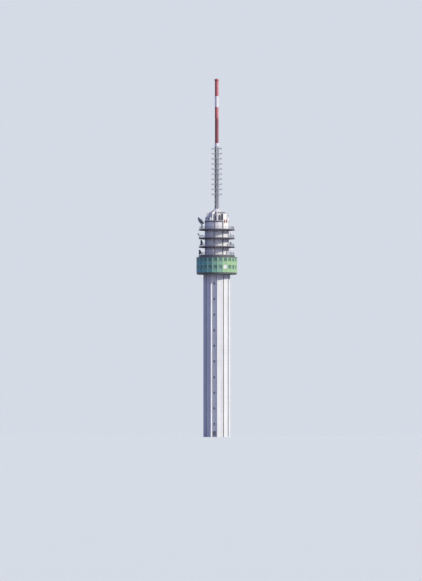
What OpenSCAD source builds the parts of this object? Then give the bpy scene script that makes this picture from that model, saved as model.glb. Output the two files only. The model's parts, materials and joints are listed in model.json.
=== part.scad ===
// Radio tower at one tenth of its real size: a concrete shaft of eight flat slabs,
// a round two storey house, a drum with three open platforms, and a steel mast.
// The origin is on the axis at ground level, +Z is up and the front is towards -Y.
// Lengths are millimetres of the scale model, and angles run from the front towards +X.

/* [Shaft] */
// Height from the ground to the underside of the round house
shaft_h = 6825; // [5500:25:8000]
// Distance from the axis to the slab edges beside a recess
slab_front = 546; // [530:2:570]
// Distance from the axis to the slab edges beside a corner slit
slab_end_r = 518; // [505:1:530]
// Width of the four recesses between the slab edges
recess_w = 264; // [250:2:280]
// Width of the narrow slits on the four corners
slit_w = 42; // [20:1:60]
// Thickness of the slabs, whose square-cut ends are the sides of the recesses
slab_t = 60; // [50:1:66]
// Thickness of the wall behind the slabs
core_t = 30; // [20:1:45]
// Width of the shallow groove down the middle of each slab
groove_w = 120; // [60:2:160]
// Depth of that groove
groove_depth = 6; // [2:1:12]

/* [Shaft windows and door] */
// Rows of windows in each recess
window_rows = 10; // [4:1:10]
// Width of a shaft window
window_w = 64; // [40:1:90]
// Height of a shaft window
window_h = 86; // [60:1:120]
// Height of the middle of the lowest window above the ground
window_low = 542; // [540:2:640]
// Distance from the shaft's top down to the middle of the top window
window_drop = 415; // [200:5:450]
// Height of a window's sill above its landing
landing_drop = 80; // [50:5:110]
// Thickness of the landings
landing_t = 20; // [12:1:40]
// Thickness of the ground floor slab
ground_t = 30; // [20:1:60]
// Width of the entrance
door_w = 140; // [90:1:150]
// Height of the entrance
door_h = 215; // [200:1:240]
// Thickness of the door leaves
door_t = 8; // [5:1:14]
// How far the door leaves lie behind the face of the window wall
door_setback = 10; // [4:1:12]

/* [Round house] */
// Distance from the axis to the outside of the posts
ring_r = 850; // [800:5:950]
// Number of bays around the house
ring_bays = 24; // [18:1:26]
// Thickness of the floor on the shaft
ring_floor_t = 40; // [25:1:60]
// How far the floor stays inside the posts
ring_floor_inset = 10; // [5:1:18]
// Height of the parapet below the lower windows
parapet_h = 143; // [120:1:200]
// Height of the lower windows
lower_window_h = 168; // [120:1:220]
// Height of the band between the window rows
mid_band_h = 146; // [100:1:180]
// Height of the upper windows
upper_window_h = 135; // [90:1:160]
// Height of the band above the upper windows
top_band_h = 30; // [24:1:100]
// Width of the windows
ring_window_w = 150; // [110:1:160]
// Width of a post
ring_post_w = 36; // [24:1:40]
// Depth of a post
ring_post_depth = 40; // [36:1:60]
// How far the posts stand proud of the panels
ring_post_proud = 14; // [4:1:15]
// Thickness of the panels
ring_panel_t = 20; // [14:1:20]
// Thickness of the floor between the two storeys
mid_floor_t = 30; // [20:1:50]
// Height of the lower window's head below that floor
mid_floor_rise = 40; // [20:1:60]
// Thickness of the roof slab
ring_roof_t = 20; // [15:1:40]
// Height of the thick slab on the roof that carries the drum
deck_slab_h = 85; // [40:1:120]
// How far the roof slab stands out over the posts
ring_roof_overhang = 4; // [0:1:20]

/* [Drum and platforms] */
// Outer radius of the drum
drum_r = 500; // [460:5:540]
// Thickness of the drum's wall
drum_t = 25; // [15:1:40]
// Width of the joints between the wall segments, on the corners
drum_joint_w = 18; // [8:1:30]
// Clear height of a drum storey
storey_h = 332; // [280:1:400]
// Radius of the open platforms
platform_r = 752; // [700:1:760]
// Thickness of the platforms
platform_t = 30; // [20:1:50]
// Width of the doors in the drum
drum_door_w = 90; // [70:1:110]
// Thickness of the doors in the drum
drum_door_t = 8; // [5:1:12]
// How far the drum doors lie behind the drum's face
drum_door_setback = 11; // [10:1:14]
// Height of the railings
railing_h = 110; // [90:1:130]
// Thickness of the railing's bars
railing_bar = 6; // [4:1:10]
// How far the railings stand inside the platform's edge
railing_inset = 16; // [8:1:40]
// Railing panels around each platform
railing_panels = 12; // [10:1:16]
// Rails in each railing panel
railing_rails = 3; // [2:1:5]
// Gap between neighbouring railing panels
railing_gap = 6; // [4:1:20]

/* [Crown] */
// Thickness of the slab on top of the drum
crown_deck_t = 30; // [20:1:50]
// How far that slab stands out over the drum
crown_deck_overhang = 12; // [0:1:30]
// Radius of the round room below the mast
crown_room_r = 200; // [180:1:220]
// Wall thickness of that room
crown_room_t = 20; // [12:1:40]
// Height of that room
crown_room_h = 400; // [370:5:460]
// Radius of a fin's outer edge on the slab
fin_foot_r = 455; // [440:1:480]
// Radial depth of a fin on the slab
fin_depth = 120; // [80:1:140]
// How far a fin's outer edge leans in up to its shoulder
fin_lean = 15; // [0:1:40]
// Distance from a fin's shoulder up to the top of the room
fin_shoulder_drop = 65; // [40:5:120]
// Radius that a fin's top edge would reach at the top of the room
fin_head_r = 180; // [170:1:190]
// Radius that a fin's inner edge would reach at the top of the room
fin_inner_r = 160; // [140:1:165]
// Thickness of a fin
fin_t = 50; // [30:1:60]
// Angle between a fin and the middle of its pair
fin_angle = 15; // [14:0.5:17]
// Inner radius of the plant rooms
plant_in_r = 300; // [280:1:340]
// Outer radius of the plant rooms
plant_out_r = 490; // [440:1:495]
// Height of the tall plant rooms on the right
plant_tall_h = 290; // [250:5:330]
// Height of the low plant rooms on the left
plant_low_h = 135; // [90:5:200]
// Gap between a fin and the plant room beside it
plant_fin_gap = 4; // [2:1:12]
// Angle of the gap between the two low plant rooms
plant_gap_angle = 2; // [1:0.5:6]

/* [Lattice mast] */
// Thickness of the cap slab under the mast
cap_t = 25; // [20:1:50]
// How far the cap stands out over the room
cap_overhang = 8; // [4:1:20]
// Height of the cone on the cap
cone_h = 60; // [50:1:120]
// Radius of the cone's foot
cone_foot_r = 170; // [140:1:180]
// Radius of the cone's head
cone_head_r = 112; // [105:1:125]
// Thickness of the foot plate on the cone
foot_plate_t = 15; // [12:1:30]
// How far the foot plate stands out over the cone's head
foot_plate_overhang = 13; // [8:1:30]
// Width of the square mast
mast_w = 165; // [150:1:165]
// Thickness of the mast's corner posts
leg_w = 16; // [12:1:22]
// Thickness of the mast's cross bars
strut_w = 9; // [6:1:10]
// Thickness of the mast's diagonals
diagonal_w = 7; // [5:1:9]
// Distance from the foot plate to the lowest cross bars
first_tier = 180; // [120:1:210]
// Distance between the cross bars
tier_pitch = 213; // [170:1:240]
// Levels of cross bars
tiers = 12; // [11:1:14]
// Levels from the bottom that carry no antennas
bare_tiers = 2; // [0:1:4]
// Distance from the highest cross bars to the top of the mast
last_tier = 80; // [40:1:120]
// Distance from the axis to the tip of an antenna arm
arm_reach = 216; // [180:1:260]
// Thickness of an antenna arm
arm_w = 10; // [6:1:14]
// Height of the rods on an antenna arm
rod_h = 72; // [40:1:110]
// Distance between the two rods of an arm
rod_pitch = 52; // [30:1:60]
// Width of the cable ladder inside the mast
ladder_w = 60; // [40:1:80]
// Thickness of the ladder's bars
ladder_bar = 6; // [4:1:8]
// Distance between the ladder's rungs
rung_pitch = 90; // [60:1:140]

/* [Antenna tube] */
// Thickness of the square head plate on the mast
head_plate_t = 15; // [8:1:30]
// Height of the white collar above the head plate
collar_h = 132; // [80:1:200]
// Radius of the collar
collar_r = 88; // [82:1:95]
// Height of the ribbed red antenna
ribbed_h = 1040; // [800:5:1200]
// Radius of the ribbed red antenna between its ribs
ribbed_r = 72; // [60:1:76]
// Distance between the ribs
rib_pitch = 80; // [60:1:130]
// Height of a rib
rib_h = 14; // [8:1:30]
// How far a rib stands out
rib_proud = 6; // [3:1:10]
// Radius of the plain tube
tube_r = 80; // [76:1:90]
// Wall thickness of the plain tube
tube_t = 8; // [4:1:14]
// Height of the lower red length
red_lower_h = 460; // [300:5:600]
// Height of the white length
white_h = 485; // [300:5:600]
// Height of the upper red length
red_upper_h = 645; // [400:5:800]
// Radius of the cap
tube_cap_r = 104; // [92:1:120]
// Height of the cap
tube_cap_h = 50; // [20:1:70]
// Radius of the lamp on the cap
top_lamp_r = 26; // [15:1:40]
// Height of the lamp on the cap
top_lamp_h = 30; // [15:1:50]

/* [Dish and platform antennas] */
// Diameter of the big dish
dish_d = 370; // [300:5:400]
// Depth of the big dish
dish_depth = 96; // [70:1:110]
// Thickness of the big dish
dish_t = 7; // [4:1:10]
// How far the middle of its rim lies outside the pedestal
dish_lean = 36; // [20:1:50]
// Direction in which the big dish stands
dish_angle = -77; // [-82:1:-72]
// Direction in which the big dish looks
dish_aim = 108; // [96:1:116]
// Height angle at which the big dish looks
dish_tilt = 43; // [38:1:50]
// Height of the rim's middle above the top platform
dish_rise = 383; // [360:1:420]
// Distance of the big dish's pedestal inside the platform's edge
dish_post_inset = 133; // [115:1:150]
// Radius of the pedestal
dish_post_r = 24; // [16:1:34]
// Radius of the pedestal's foot
dish_foot_r = 46; // [38:1:60]
// Thickness of the pedestal's foot
dish_foot_t = 14; // [8:1:24]
// Radius of the poles of the small antennas
pole_r = 9; // [6:1:14]
// Width of the upright panel antenna beside the front door
panel_antenna_w = 34; // [20:1:44]
// Depth of the upright panel antenna
panel_antenna_t = 20; // [12:1:24]
// Height of the upright panel antenna
panel_antenna_h = 200; // [150:1:250]
// Height of its foot above the deck
panel_antenna_rise = 67; // [30:1:120]
// Distance of its pole inside the platform's edge
panel_antenna_inset = 52; // [50:1:110]
// Direction in which it stands
panel_antenna_angle = 0; // [-1:0.5:1]

/* [Hidden] */
$fn = 96;
// Clearance between pieces that stand beside each other
clear = 0.3;
// Overshoot of a cutting tool past the face that it cuts
cut = 1;

sides = [0, 90, 180, 270];
white = [0.93, 0.93, 0.94];
grey = [0.6, 0.62, 0.66];
green = [0.55, 0.72, 0.55];
red = [0.78, 0.2, 0.22];

// A point at distance r from the axis in direction a
function polar(r, a) = [r * sin(a), -r * cos(a)];
// A point turned about the axis
function turned(p, a) = [p[0] * cos(a) - p[1] * sin(a), p[0] * sin(a) + p[1] * cos(a)];

// The outer face of a slab runs from the recess edge to the slit edge
slab_a = [recess_w / 2, -slab_front];
slab_b = polar(slab_end_r, 45 - asin(slit_w / 2 / slab_end_r));
slab_len = norm(slab_b - slab_a);
slab_turn = atan2(slab_b[1] - slab_a[1], slab_b[0] - slab_a[0]);
slab_face = slab_a * polar(1, slab_turn);

// The wall behind the slabs has twelve flats: four window walls and eight behind the slabs
wall_front = slab_front - slab_t * cos(slab_turn);
wall_back = slab_face - slab_t;
function fold(front, back) = [(back - front * cos(slab_turn)) / sin(slab_turn), -front];
function corner(back) = polar(back / cos(45 - slab_turn), 45);
wall_fold = fold(wall_front, wall_back);
wall_corner = corner(wall_back);
room_fold = fold(wall_front - core_t, wall_back - core_t);
room_corner = corner(wall_back - core_t);
slab_heel = slab_b - polar(slab_t / cos(45 - slab_turn), 45);
room_plan = [
    for (a = sides, p = [[-room_fold[0], room_fold[1]], room_fold, room_corner]) turned(p, a)
];
window_top_z = shaft_h - window_drop;
window_pitch = (window_top_z - window_low) / (window_rows - 1);

// Levels of the round house
ring_z = shaft_h + ring_floor_t;
lower_window_z = ring_z + parapet_h;
upper_window_z = lower_window_z + lower_window_h + mid_band_h;
ring_top = upper_window_z + upper_window_h + top_band_h;
mid_floor_z = lower_window_z + lower_window_h + mid_floor_rise;
ring_step = 360 / ring_bays;
panel_face = ring_r - ring_post_proud;
deck_z = ring_top + ring_roof_t + deck_slab_h;

// Floors that carry the four drum storeys and the crown
storey_pitch = storey_h + platform_t;
function floor_z(n) = deck_z + n * storey_pitch;
top_platform_z = floor_z(3);
drum_top = top_platform_z + storey_h;
crown_z = drum_top + crown_deck_t;
cap_z = crown_z + crown_room_h;
cone_z = cap_z + cap_t;
foot_plate_z = cone_z + cone_h;
mast_z = foot_plate_z + foot_plate_t;

// Levels of the mast and the antenna tube
mast_h = first_tier + (tiers - 1) * tier_pitch + last_tier;
collar_z = mast_z + mast_h;
ribbed_z = collar_z + head_plate_t + collar_h;
red_lower_z = ribbed_z + ribbed_h;
white_z = red_lower_z + red_lower_h;
red_upper_z = white_z + white_h;
tube_cap_z = red_upper_z + red_upper_h;
mast_clear_w = mast_w - 2 * leg_w;
side_y = -(mast_w - leg_w) / 2;

// The big dish is a cap of a ball
dish_r = dish_d / 2;
ball_r = (dish_r * dish_r + dish_depth * dish_depth) / (2 * dish_depth);
dish_post_at = platform_r - dish_post_inset;

// Small dishes: direction, distance inside the platform's edge, floor, height on the floor,
// diameter, depth and aim
small_dishes = [
    [-77, 10, 2, 169, 76, 56, -77],
    [-77, 164, 1, 176, 230, 95, -77],
    [-77, 110, 0, 135, 200, 115, -77],
    [79.5, 162, 1, 134, 130, 60, 70],
    [73, 84, 0, 225, 126, 56, 50],
    [93, 104, 3, 82, 80, 50, 93],
    [83, 142, 2, 192, 112, 56, 60]
];
// The deck's railing leaves out the panel where the third of these dishes takes its place
open_panel = floor((small_dishes[2][0] + 360) * railing_panels / 360);

module window_wall() {
    difference() {
        linear_extrude(shaft_h)
            polygon([
                wall_fold,
                room_fold,
                [-room_fold[0], room_fold[1]],
                [-wall_fold[0], wall_fold[1]]
            ]);
        for (i = [0 : window_rows - 1])
            translate([-window_w / 2, -wall_front - cut, window_top_z - i * window_pitch - window_h / 2])
                cube([window_w, core_t + 2 * cut, window_h]);
    }
}

module recess_wall_front() {
    color(white)
        difference() {
            window_wall();
            translate([-door_w / 2, -wall_front - cut, ground_t])
                cube([door_w, core_t + 2 * cut, door_h]);
        }
}

module recess_wall_right() {
    color(white) rotate(90) window_wall();
}

module recess_wall_back() {
    color(white) rotate(180) window_wall();
}

module recess_wall_left() {
    color(white) rotate(270) window_wall();
}

// Two flats meet on each corner, with a fine joint between them
module corner_walls() {
    color(white)
        for (a = sides, flip = [0, 1])
            rotate(a)
                mirror([flip, 0, 0])
                    linear_extrude(shaft_h)
                        difference() {
                            polygon([wall_fold, wall_corner, room_corner, room_fold]);
                            rotate(45)
                                translate([-clear / 2, -2 * slab_front])
                                    square([clear, 2 * slab_front]);
                        }
}

module slab_plan() {
    difference() {
        polygon([slab_a, slab_b, slab_heel, wall_fold]);
        translate(slab_a)
            rotate(slab_turn)
                translate([(slab_len - groove_w) / 2, -cut])
                    square([groove_w, groove_depth + cut]);
    }
}

module shaft_slabs() {
    color(white)
        for (a = sides, flip = [0, 1])
            rotate(a)
                mirror([flip, 0, 0])
                    linear_extrude(shaft_h) slab_plan();
}

module ground_floor() {
    color(grey) linear_extrude(ground_t) polygon(room_plan);
}

module shaft_landings() {
    color(grey)
        for (i = [0 : window_rows - 1])
            translate([0, 0, window_top_z - i * window_pitch - window_h / 2 - landing_drop - landing_t])
                linear_extrude(landing_t) polygon(room_plan);
}

module entrance_door() {
    leaf_w = door_w / 2 - clear;
    color(grey)
        for (flip = [0, 1])
            mirror([flip, 0, 0])
                translate([clear / 2, -wall_front + door_setback, ground_t])
                    cube([leaf_w - clear / 2, door_t, door_h - clear]);
}

module ring_floor() {
    color(grey)
        translate([0, 0, shaft_h])
            cylinder(h = ring_floor_t, r = ring_r - ring_floor_inset);
}

module ring_posts() {
    color(green)
        for (i = [0 : ring_bays - 1])
            rotate(i * ring_step)
                translate([-ring_post_w / 2, -ring_r, ring_z])
                    cube([ring_post_w, ring_post_depth, ring_top - ring_z]);
}

// Half the width of a panel at a distance from the axis, so that it fits between two posts
function panel_half(r) =
    (r * sin(ring_step / 2) - ring_post_w / 2 - clear) / cos(ring_step / 2);

module ring_panels() {
    panel_back = panel_face - ring_panel_t;
    color(green)
        for (i = [0 : ring_bays - 1])
            rotate((i + 0.5) * ring_step)
                difference() {
                    translate([0, 0, ring_z])
                        linear_extrude(ring_top - ring_z)
                            polygon([
                                [-panel_half(panel_face), -panel_face],
                                [panel_half(panel_face), -panel_face],
                                [panel_half(panel_back), -panel_back],
                                [-panel_half(panel_back), -panel_back]
                            ]);
                    translate([-ring_window_w / 2, -panel_face - cut, lower_window_z])
                        cube([ring_window_w, ring_panel_t + 2 * cut, lower_window_h]);
                    translate([-ring_window_w / 2, -panel_face - cut, upper_window_z])
                        cube([ring_window_w, ring_panel_t + 2 * cut, upper_window_h]);
                }
}

module ring_mid_floor() {
    color(grey)
        translate([0, 0, mid_floor_z])
            cylinder(h = mid_floor_t, r = ring_r - ring_post_depth - clear);
}

// One storey of the round wall: eight segments, with a doorway on each side
module round_wall(height) {
    for (a = sides, flip = [0, 1])
        rotate(a)
            mirror([flip, 0, 0])
                linear_extrude(height)
                    difference() {
                        intersection() {
                            difference() {
                                circle(r = drum_r);
                                circle(r = drum_r - drum_t);
                            }
                            polygon([[0, 0], [0, -2 * drum_r], [2 * drum_r, -2 * drum_r]]);
                        }
                        translate([-cut, -2 * drum_r])
                            square([drum_door_w / 2 + cut, 2 * drum_r]);
                        rotate(45)
                            translate([-drum_joint_w / 2, -2 * drum_r])
                                square([drum_joint_w, 2 * drum_r]);
                    }
}

module ring_core_wall() {
    color(white) {
        translate([0, 0, ring_z]) round_wall(mid_floor_z - ring_z);
        translate([0, 0, mid_floor_z + mid_floor_t]) round_wall(ring_top - mid_floor_z - mid_floor_t);
    }
}

module ring_roof() {
    color(green)
        translate([0, 0, ring_top])
            cylinder(h = ring_roof_t, r = ring_r + ring_roof_overhang);
    color(grey)
        translate([0, 0, ring_top])
            cylinder(h = ring_roof_t + deck_slab_h, r = platform_r);
}

module drum_wall(n) {
    color(white) translate([0, 0, floor_z(n - 1)]) round_wall(storey_h);
}

module drum_wall_1() {
    drum_wall(1);
}

module drum_wall_2() {
    drum_wall(2);
}

module drum_wall_3() {
    drum_wall(3);
}

module drum_wall_4() {
    drum_wall(4);
}

module drum_doors() {
    leaf_w = drum_door_w - 2 * clear;
    color(grey)
        for (n = [0 : 3], a = sides)
            rotate(a)
                translate([-leaf_w / 2, -drum_r + drum_door_setback, floor_z(n)])
                    cube([leaf_w, drum_door_t, storey_h - clear]);
}

module platform(n) {
    color(grey)
        translate([0, 0, floor_z(n) - platform_t])
            cylinder(h = platform_t, r = platform_r);
}

module platform_1() {
    platform(1);
}

module platform_2() {
    platform(2);
}

module platform_3() {
    platform(3);
}

module railing_panel() {
    railing_r = platform_r - railing_inset;
    half = railing_r * sin(180 / railing_panels) - railing_gap / 2;
    depth = railing_r * cos(180 / railing_panels);
    translate([0, -depth, 0]) {
        for (x = [-half, -railing_bar / 2, half - railing_bar])
            translate([x, 0, 0])
                cube([railing_bar, railing_bar, railing_h]);
        for (i = [1 : railing_rails])
            translate([-half, 0, i * railing_h / railing_rails - railing_bar])
                cube([2 * half, railing_bar, railing_bar]);
    }
}

module railings() {
    color(grey)
        for (n = [0 : 3], i = [0 : railing_panels - 1])
            if (n > 0 || i != open_panel)
                translate([0, 0, floor_z(n)])
                    rotate((i + 0.5) * 360 / railing_panels)
                        railing_panel();
}

module crown_deck() {
    color(white)
        translate([0, 0, drum_top])
            cylinder(h = crown_deck_t, r = drum_r + crown_deck_overhang);
}

module crown_fins() {
    color(white)
        translate([0, 0, crown_z])
            difference() {
                for (a = sides, s = [-1, 1])
                    rotate(a + s * fin_angle)
                        translate([fin_t / 2, 0, 0])
                            rotate([90, 0, -90])
                                linear_extrude(fin_t)
                                    polygon([
                                        [fin_foot_r - fin_depth, 0],
                                        [fin_foot_r, 0],
                                        [fin_foot_r - fin_lean, crown_room_h - fin_shoulder_drop],
                                        [fin_head_r, crown_room_h],
                                        [fin_inner_r, crown_room_h]
                                    ]);
                translate([0, 0, -cut])
                    cylinder(h = crown_room_h + 2 * cut, r = crown_room_r);
            }
}

module crown_room() {
    color(white)
        translate([0, 0, crown_z])
            difference() {
                cylinder(h = crown_room_h, r = crown_room_r);
                translate([0, 0, -cut])
                    cylinder(h = crown_room_h + 2 * cut, r = crown_room_r - crown_room_t);
            }
}

// A room between two directions, which stands clear of the fins beside it
module plant_room(from, to, height) {
    translate([0, 0, crown_z])
        linear_extrude(height)
            intersection() {
                difference() {
                    circle(r = plant_out_r);
                    circle(r = plant_in_r);
                }
                polygon([[0, 0], polar(2 * plant_out_r, from), polar(2 * plant_out_r, to)]);
            }
}

// Half the angle that a fin and the gap beside it take at the inner wall of the plant rooms
fin_margin = asin((fin_t / 2 + plant_fin_gap) / plant_in_r);

module plant_rooms() {
    half_gap = plant_gap_angle / 2;
    color(white) {
        plant_room(45 + half_gap, 90 - fin_angle - fin_margin, plant_tall_h);
        plant_room(90 - fin_angle + fin_margin, 90 + fin_angle - fin_margin, plant_tall_h);
        plant_room(-90 + fin_angle + fin_margin, -45 - half_gap, plant_low_h);
        plant_room(-45 + half_gap, -fin_angle - fin_margin, plant_low_h);
    }
}

module mast_pedestal() {
    color(white) {
        translate([0, 0, cap_z]) cylinder(h = cap_t, r = crown_room_r + cap_overhang);
        translate([0, 0, cone_z]) cylinder(h = cone_h, r1 = cone_foot_r, r2 = cone_head_r);
        translate([0, 0, foot_plate_z])
            cylinder(h = foot_plate_t, r = cone_head_r + foot_plate_overhang);
    }
}

module mast_legs() {
    color(grey)
        for (x = [-mast_w / 2, mast_w / 2 - leg_w], y = [-mast_w / 2, mast_w / 2 - leg_w])
            translate([x, y, mast_z])
                cube([leg_w, leg_w, mast_h]);
}

function tier_z(i) = mast_z + first_tier + i * tier_pitch;

// A bar in the plane of a mast side, from one corner post to the other
module diagonal_bar(z0, z1) {
    run = [mast_clear_w, z1 - z0];
    translate([-mast_clear_w / 2, side_y, z0])
        rotate([0, -atan2(run[1], run[0]), 0])
            translate([-diagonal_w, -diagonal_w / 2, -diagonal_w / 2])
                cube([norm(run) + 2 * diagonal_w, diagonal_w, diagonal_w]);
}

module mast_side() {
    color(grey)
        intersection() {
            union() {
                for (i = [0 : tiers - 1])
                    translate([-mast_w / 2, side_y - strut_w / 2, tier_z(i) - strut_w / 2])
                        cube([mast_w, strut_w, strut_w]);
                for (i = [0 : tiers - 1], flip = [0, 1])
                    mirror([flip, 0, 0]) diagonal_bar(i == 0 ? mast_z : tier_z(i - 1), tier_z(i));
            }
            translate([-mast_clear_w / 2, -mast_w / 2, mast_z])
                cube([mast_clear_w, leg_w, mast_h]);
        }
}

module mast_side_front() {
    mast_side();
}

module mast_side_right() {
    rotate(90) mast_side();
}

module mast_side_back() {
    rotate(180) mast_side();
}

module mast_side_left() {
    rotate(270) mast_side();
}

module cable_ladder() {
    back = -side_y - strut_w / 2 - ladder_bar;
    color(grey) {
        for (x = [-ladder_w / 2, ladder_w / 2 - ladder_bar])
            translate([x, back, mast_z])
                cube([ladder_bar, ladder_bar, mast_h]);
        for (z = [rung_pitch / 2 : rung_pitch : mast_h - ladder_bar])
            translate([-ladder_w / 2, back, mast_z + z])
                cube([ladder_w, ladder_bar, ladder_bar]);
    }
}

module antenna_arms() {
    arm_start = -side_y + strut_w / 2;
    color(grey)
        for (i = [bare_tiers : tiers - 1], a = sides)
            rotate(a)
                translate([0, 0, tier_z(i)]) {
                    translate([-arm_w / 2, -arm_reach, -arm_w / 2])
                        cube([arm_w, arm_reach - arm_start, arm_w]);
                    for (y = [-arm_reach, rod_pitch - arm_reach])
                        translate([-arm_w / 2, y, -rod_h / 2])
                            cube([arm_w, arm_w, rod_h]);
                }
}

module mast_collar() {
    color(white) {
        translate([-mast_w / 2, -mast_w / 2, collar_z])
            cube([mast_w, mast_w, head_plate_t]);
        translate([0, 0, collar_z + head_plate_t])
            cylinder(h = collar_h, r = collar_r);
    }
}

module ribbed_antenna() {
    color(red)
        translate([0, 0, ribbed_z]) {
            cylinder(h = ribbed_h, r = ribbed_r);
            for (z = [0 : rib_pitch : ribbed_h - rib_h])
                translate([0, 0, z])
                    cylinder(h = rib_h, r = ribbed_r + rib_proud);
        }
}

module tube(z, height) {
    translate([0, 0, z])
        difference() {
            cylinder(h = height, r = tube_r);
            translate([0, 0, -cut])
                cylinder(h = height + 2 * cut, r = tube_r - tube_t);
        }
}

module tube_red_lower() {
    color(red) tube(red_lower_z, red_lower_h);
}

module tube_white() {
    color(white) tube(white_z, white_h);
}

module tube_red_upper() {
    color(red) tube(red_upper_z, red_upper_h);
}

module tube_cap() {
    color(red)
        translate([0, 0, tube_cap_z]) {
            cylinder(h = tube_cap_h, r = tube_cap_r);
            translate([0, 0, tube_cap_h])
                cylinder(h = top_lamp_h, r = top_lamp_r);
        }
}

// Places the middle of the ball that the big dish is cut from, and looks along +Z
module at_dish_ball() {
    translate([0, 0, top_platform_z + dish_rise])
        translate(polar(dish_post_at + dish_lean, dish_angle))
            rotate([90 - dish_tilt, 0, dish_aim])
                translate([0, 0, ball_r - dish_depth])
                    children();
}

module big_dish() {
    color(grey)
        at_dish_ball()
            difference() {
                sphere(r = ball_r);
                sphere(r = ball_r - dish_t);
                translate([0, 0, dish_depth - ball_r])
                    cylinder(h = 2 * ball_r, r = 2 * ball_r);
            }
}

module big_dish_stand() {
    color(grey)
        difference() {
            translate([0, 0, top_platform_z])
                translate(polar(dish_post_at, dish_angle)) {
                    cylinder(h = dish_foot_t, r = dish_foot_r);
                    cylinder(h = dish_rise, r = dish_post_r);
                }
            at_dish_ball() sphere(r = ball_r + clear);
        }
}

module small_dish(d) {
    rotate(d[0])
        translate([0, d[1] - platform_r, floor_z(d[2])]) {
            cylinder(h = d[3] + pole_r, r = pole_r, $fn = 24);
            translate([0, 0, d[3]])
                rotate([90, 0, d[6] - d[0]])
                    cylinder(h = d[5], d = d[4], $fn = 48);
        }
}

module platform_antennas() {
    color(white) {
        for (d = small_dishes)
            small_dish(d);
        translate([0, 0, floor_z(0)])
            translate(polar(platform_r - panel_antenna_inset, panel_antenna_angle)) {
                cylinder(h = panel_antenna_rise + panel_antenna_h / 2, r = pole_r, $fn = 24);
                translate([-panel_antenna_w / 2, -panel_antenna_t, panel_antenna_rise])
                    cube([panel_antenna_w, panel_antenna_t, panel_antenna_h]);
            }
    }
}

ground_floor();
recess_wall_front();
recess_wall_right();
recess_wall_back();
recess_wall_left();
corner_walls();
shaft_slabs();
entrance_door();
shaft_landings();
ring_floor();
ring_posts();
ring_panels();
ring_mid_floor();
ring_core_wall();
ring_roof();
drum_wall_1();
drum_wall_2();
drum_wall_3();
drum_wall_4();
drum_doors();
platform_1();
platform_2();
platform_3();
railings();
crown_deck();
crown_fins();
crown_room();
plant_rooms();
mast_pedestal();
mast_legs();
mast_side_front();
mast_side_right();
mast_side_back();
mast_side_left();
cable_ladder();
antenna_arms();
mast_collar();
ribbed_antenna();
tube_red_lower();
tube_white();
tube_red_upper();
tube_cap();
big_dish();
big_dish_stand();
platform_antennas();
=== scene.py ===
# %% [markdown]
# # Dressing a concrete radio tower
# The tower's load-bearing pieces come from a CAD model: shaft, round house, drum, platforms, mast and
# tube. This script adds what a builder fits afterwards, such as window frames, sills, beams, handrails,
# cables, bolts and dishes, and it paints every surface. All lengths are metres of the 1:10 model, the
# origin is on the axis at ground level, +Z is up, and the front is towards -Y.

# %% Load the tower
import json
import math

import bmesh
import bpy
from mathutils import Matrix, Vector


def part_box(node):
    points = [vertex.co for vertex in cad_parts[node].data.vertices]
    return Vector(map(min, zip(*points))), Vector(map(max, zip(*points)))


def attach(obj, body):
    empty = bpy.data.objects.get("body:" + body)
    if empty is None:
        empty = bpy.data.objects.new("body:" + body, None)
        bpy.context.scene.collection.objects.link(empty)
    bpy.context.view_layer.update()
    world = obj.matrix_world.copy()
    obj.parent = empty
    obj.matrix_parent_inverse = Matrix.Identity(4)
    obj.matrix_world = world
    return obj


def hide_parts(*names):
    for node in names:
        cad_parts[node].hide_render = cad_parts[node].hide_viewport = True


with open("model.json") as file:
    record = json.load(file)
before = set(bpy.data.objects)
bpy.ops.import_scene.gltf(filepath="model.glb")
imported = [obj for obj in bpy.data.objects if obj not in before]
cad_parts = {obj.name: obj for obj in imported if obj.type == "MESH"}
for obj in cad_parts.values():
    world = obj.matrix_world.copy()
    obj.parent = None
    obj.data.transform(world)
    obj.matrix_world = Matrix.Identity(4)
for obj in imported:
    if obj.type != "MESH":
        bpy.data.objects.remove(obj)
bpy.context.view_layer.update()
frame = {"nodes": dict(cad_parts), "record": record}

# %% [markdown]
# ## Directions around the tower
# Almost everything here stands in a ring, so a direction is an angle from the front, turning towards
# the right. `polar` gives the point at a distance in such a direction, and `turn` gives the matrix that
# carries a piece made at the front round to it. Making each piece once, at the front, keeps its own
# sums simple.


# %% Points and turns
def polar(distance, angle, z=0.0):
    """The point at a distance from the axis, in a direction given in degrees from the front."""
    a = math.radians(angle)
    return Vector((distance * math.sin(a), -distance * math.cos(a), z))


def turn(angle):
    """Turns what stands at the front to a direction in degrees."""
    return Matrix.Rotation(math.radians(angle), 4, "Z")


def at_front(distance, z=0.0):
    """Moves what stands on the axis to the front."""
    return Matrix.Translation((0, -distance, z))


def reach(name, angle, z):
    """How far from the axis a CAD piece reaches in a direction, at a height."""
    piece = frame["nodes"][name]
    inside = piece.matrix_world.inverted()
    start = inside @ polar(5.0, angle, z)
    hit, place, _, _ = piece.ray_cast(start, (inside @ Vector((0, 0, z)) - start).normalized())
    return (piece.matrix_world @ place).xy.length if hit else 0.0


print("A quarter turn to the right is", tuple(round(v, 3) for v in polar(1, 90)))
print("The corner walls reach", round(reach("corner_walls", 45, 3.0), 3), "m from the axis")

# %% [markdown]
# ## Camera
# The photo was taken from the ground, about two kilometres away, with a long lens: the platforms are
# seen edge on, and none of their undersides show. The model is a tenth of the size, so the camera
# stands 209 m off, at eye height, and its lens is chosen so that one pixel of a 422 by 581 picture
# covers 41.8 mm of the model.

# %% Make the camera
VIEW_ANGLE = 12.5
VIEW_DISTANCE = 209.0
EYE_HEIGHT = 0.16
PIXEL = 0.0418
PICTURE = (422, 581)
SENSOR = 36.0
AXIS_COLUMN = 216.8
GROUND_ROW = 437.0

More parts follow.
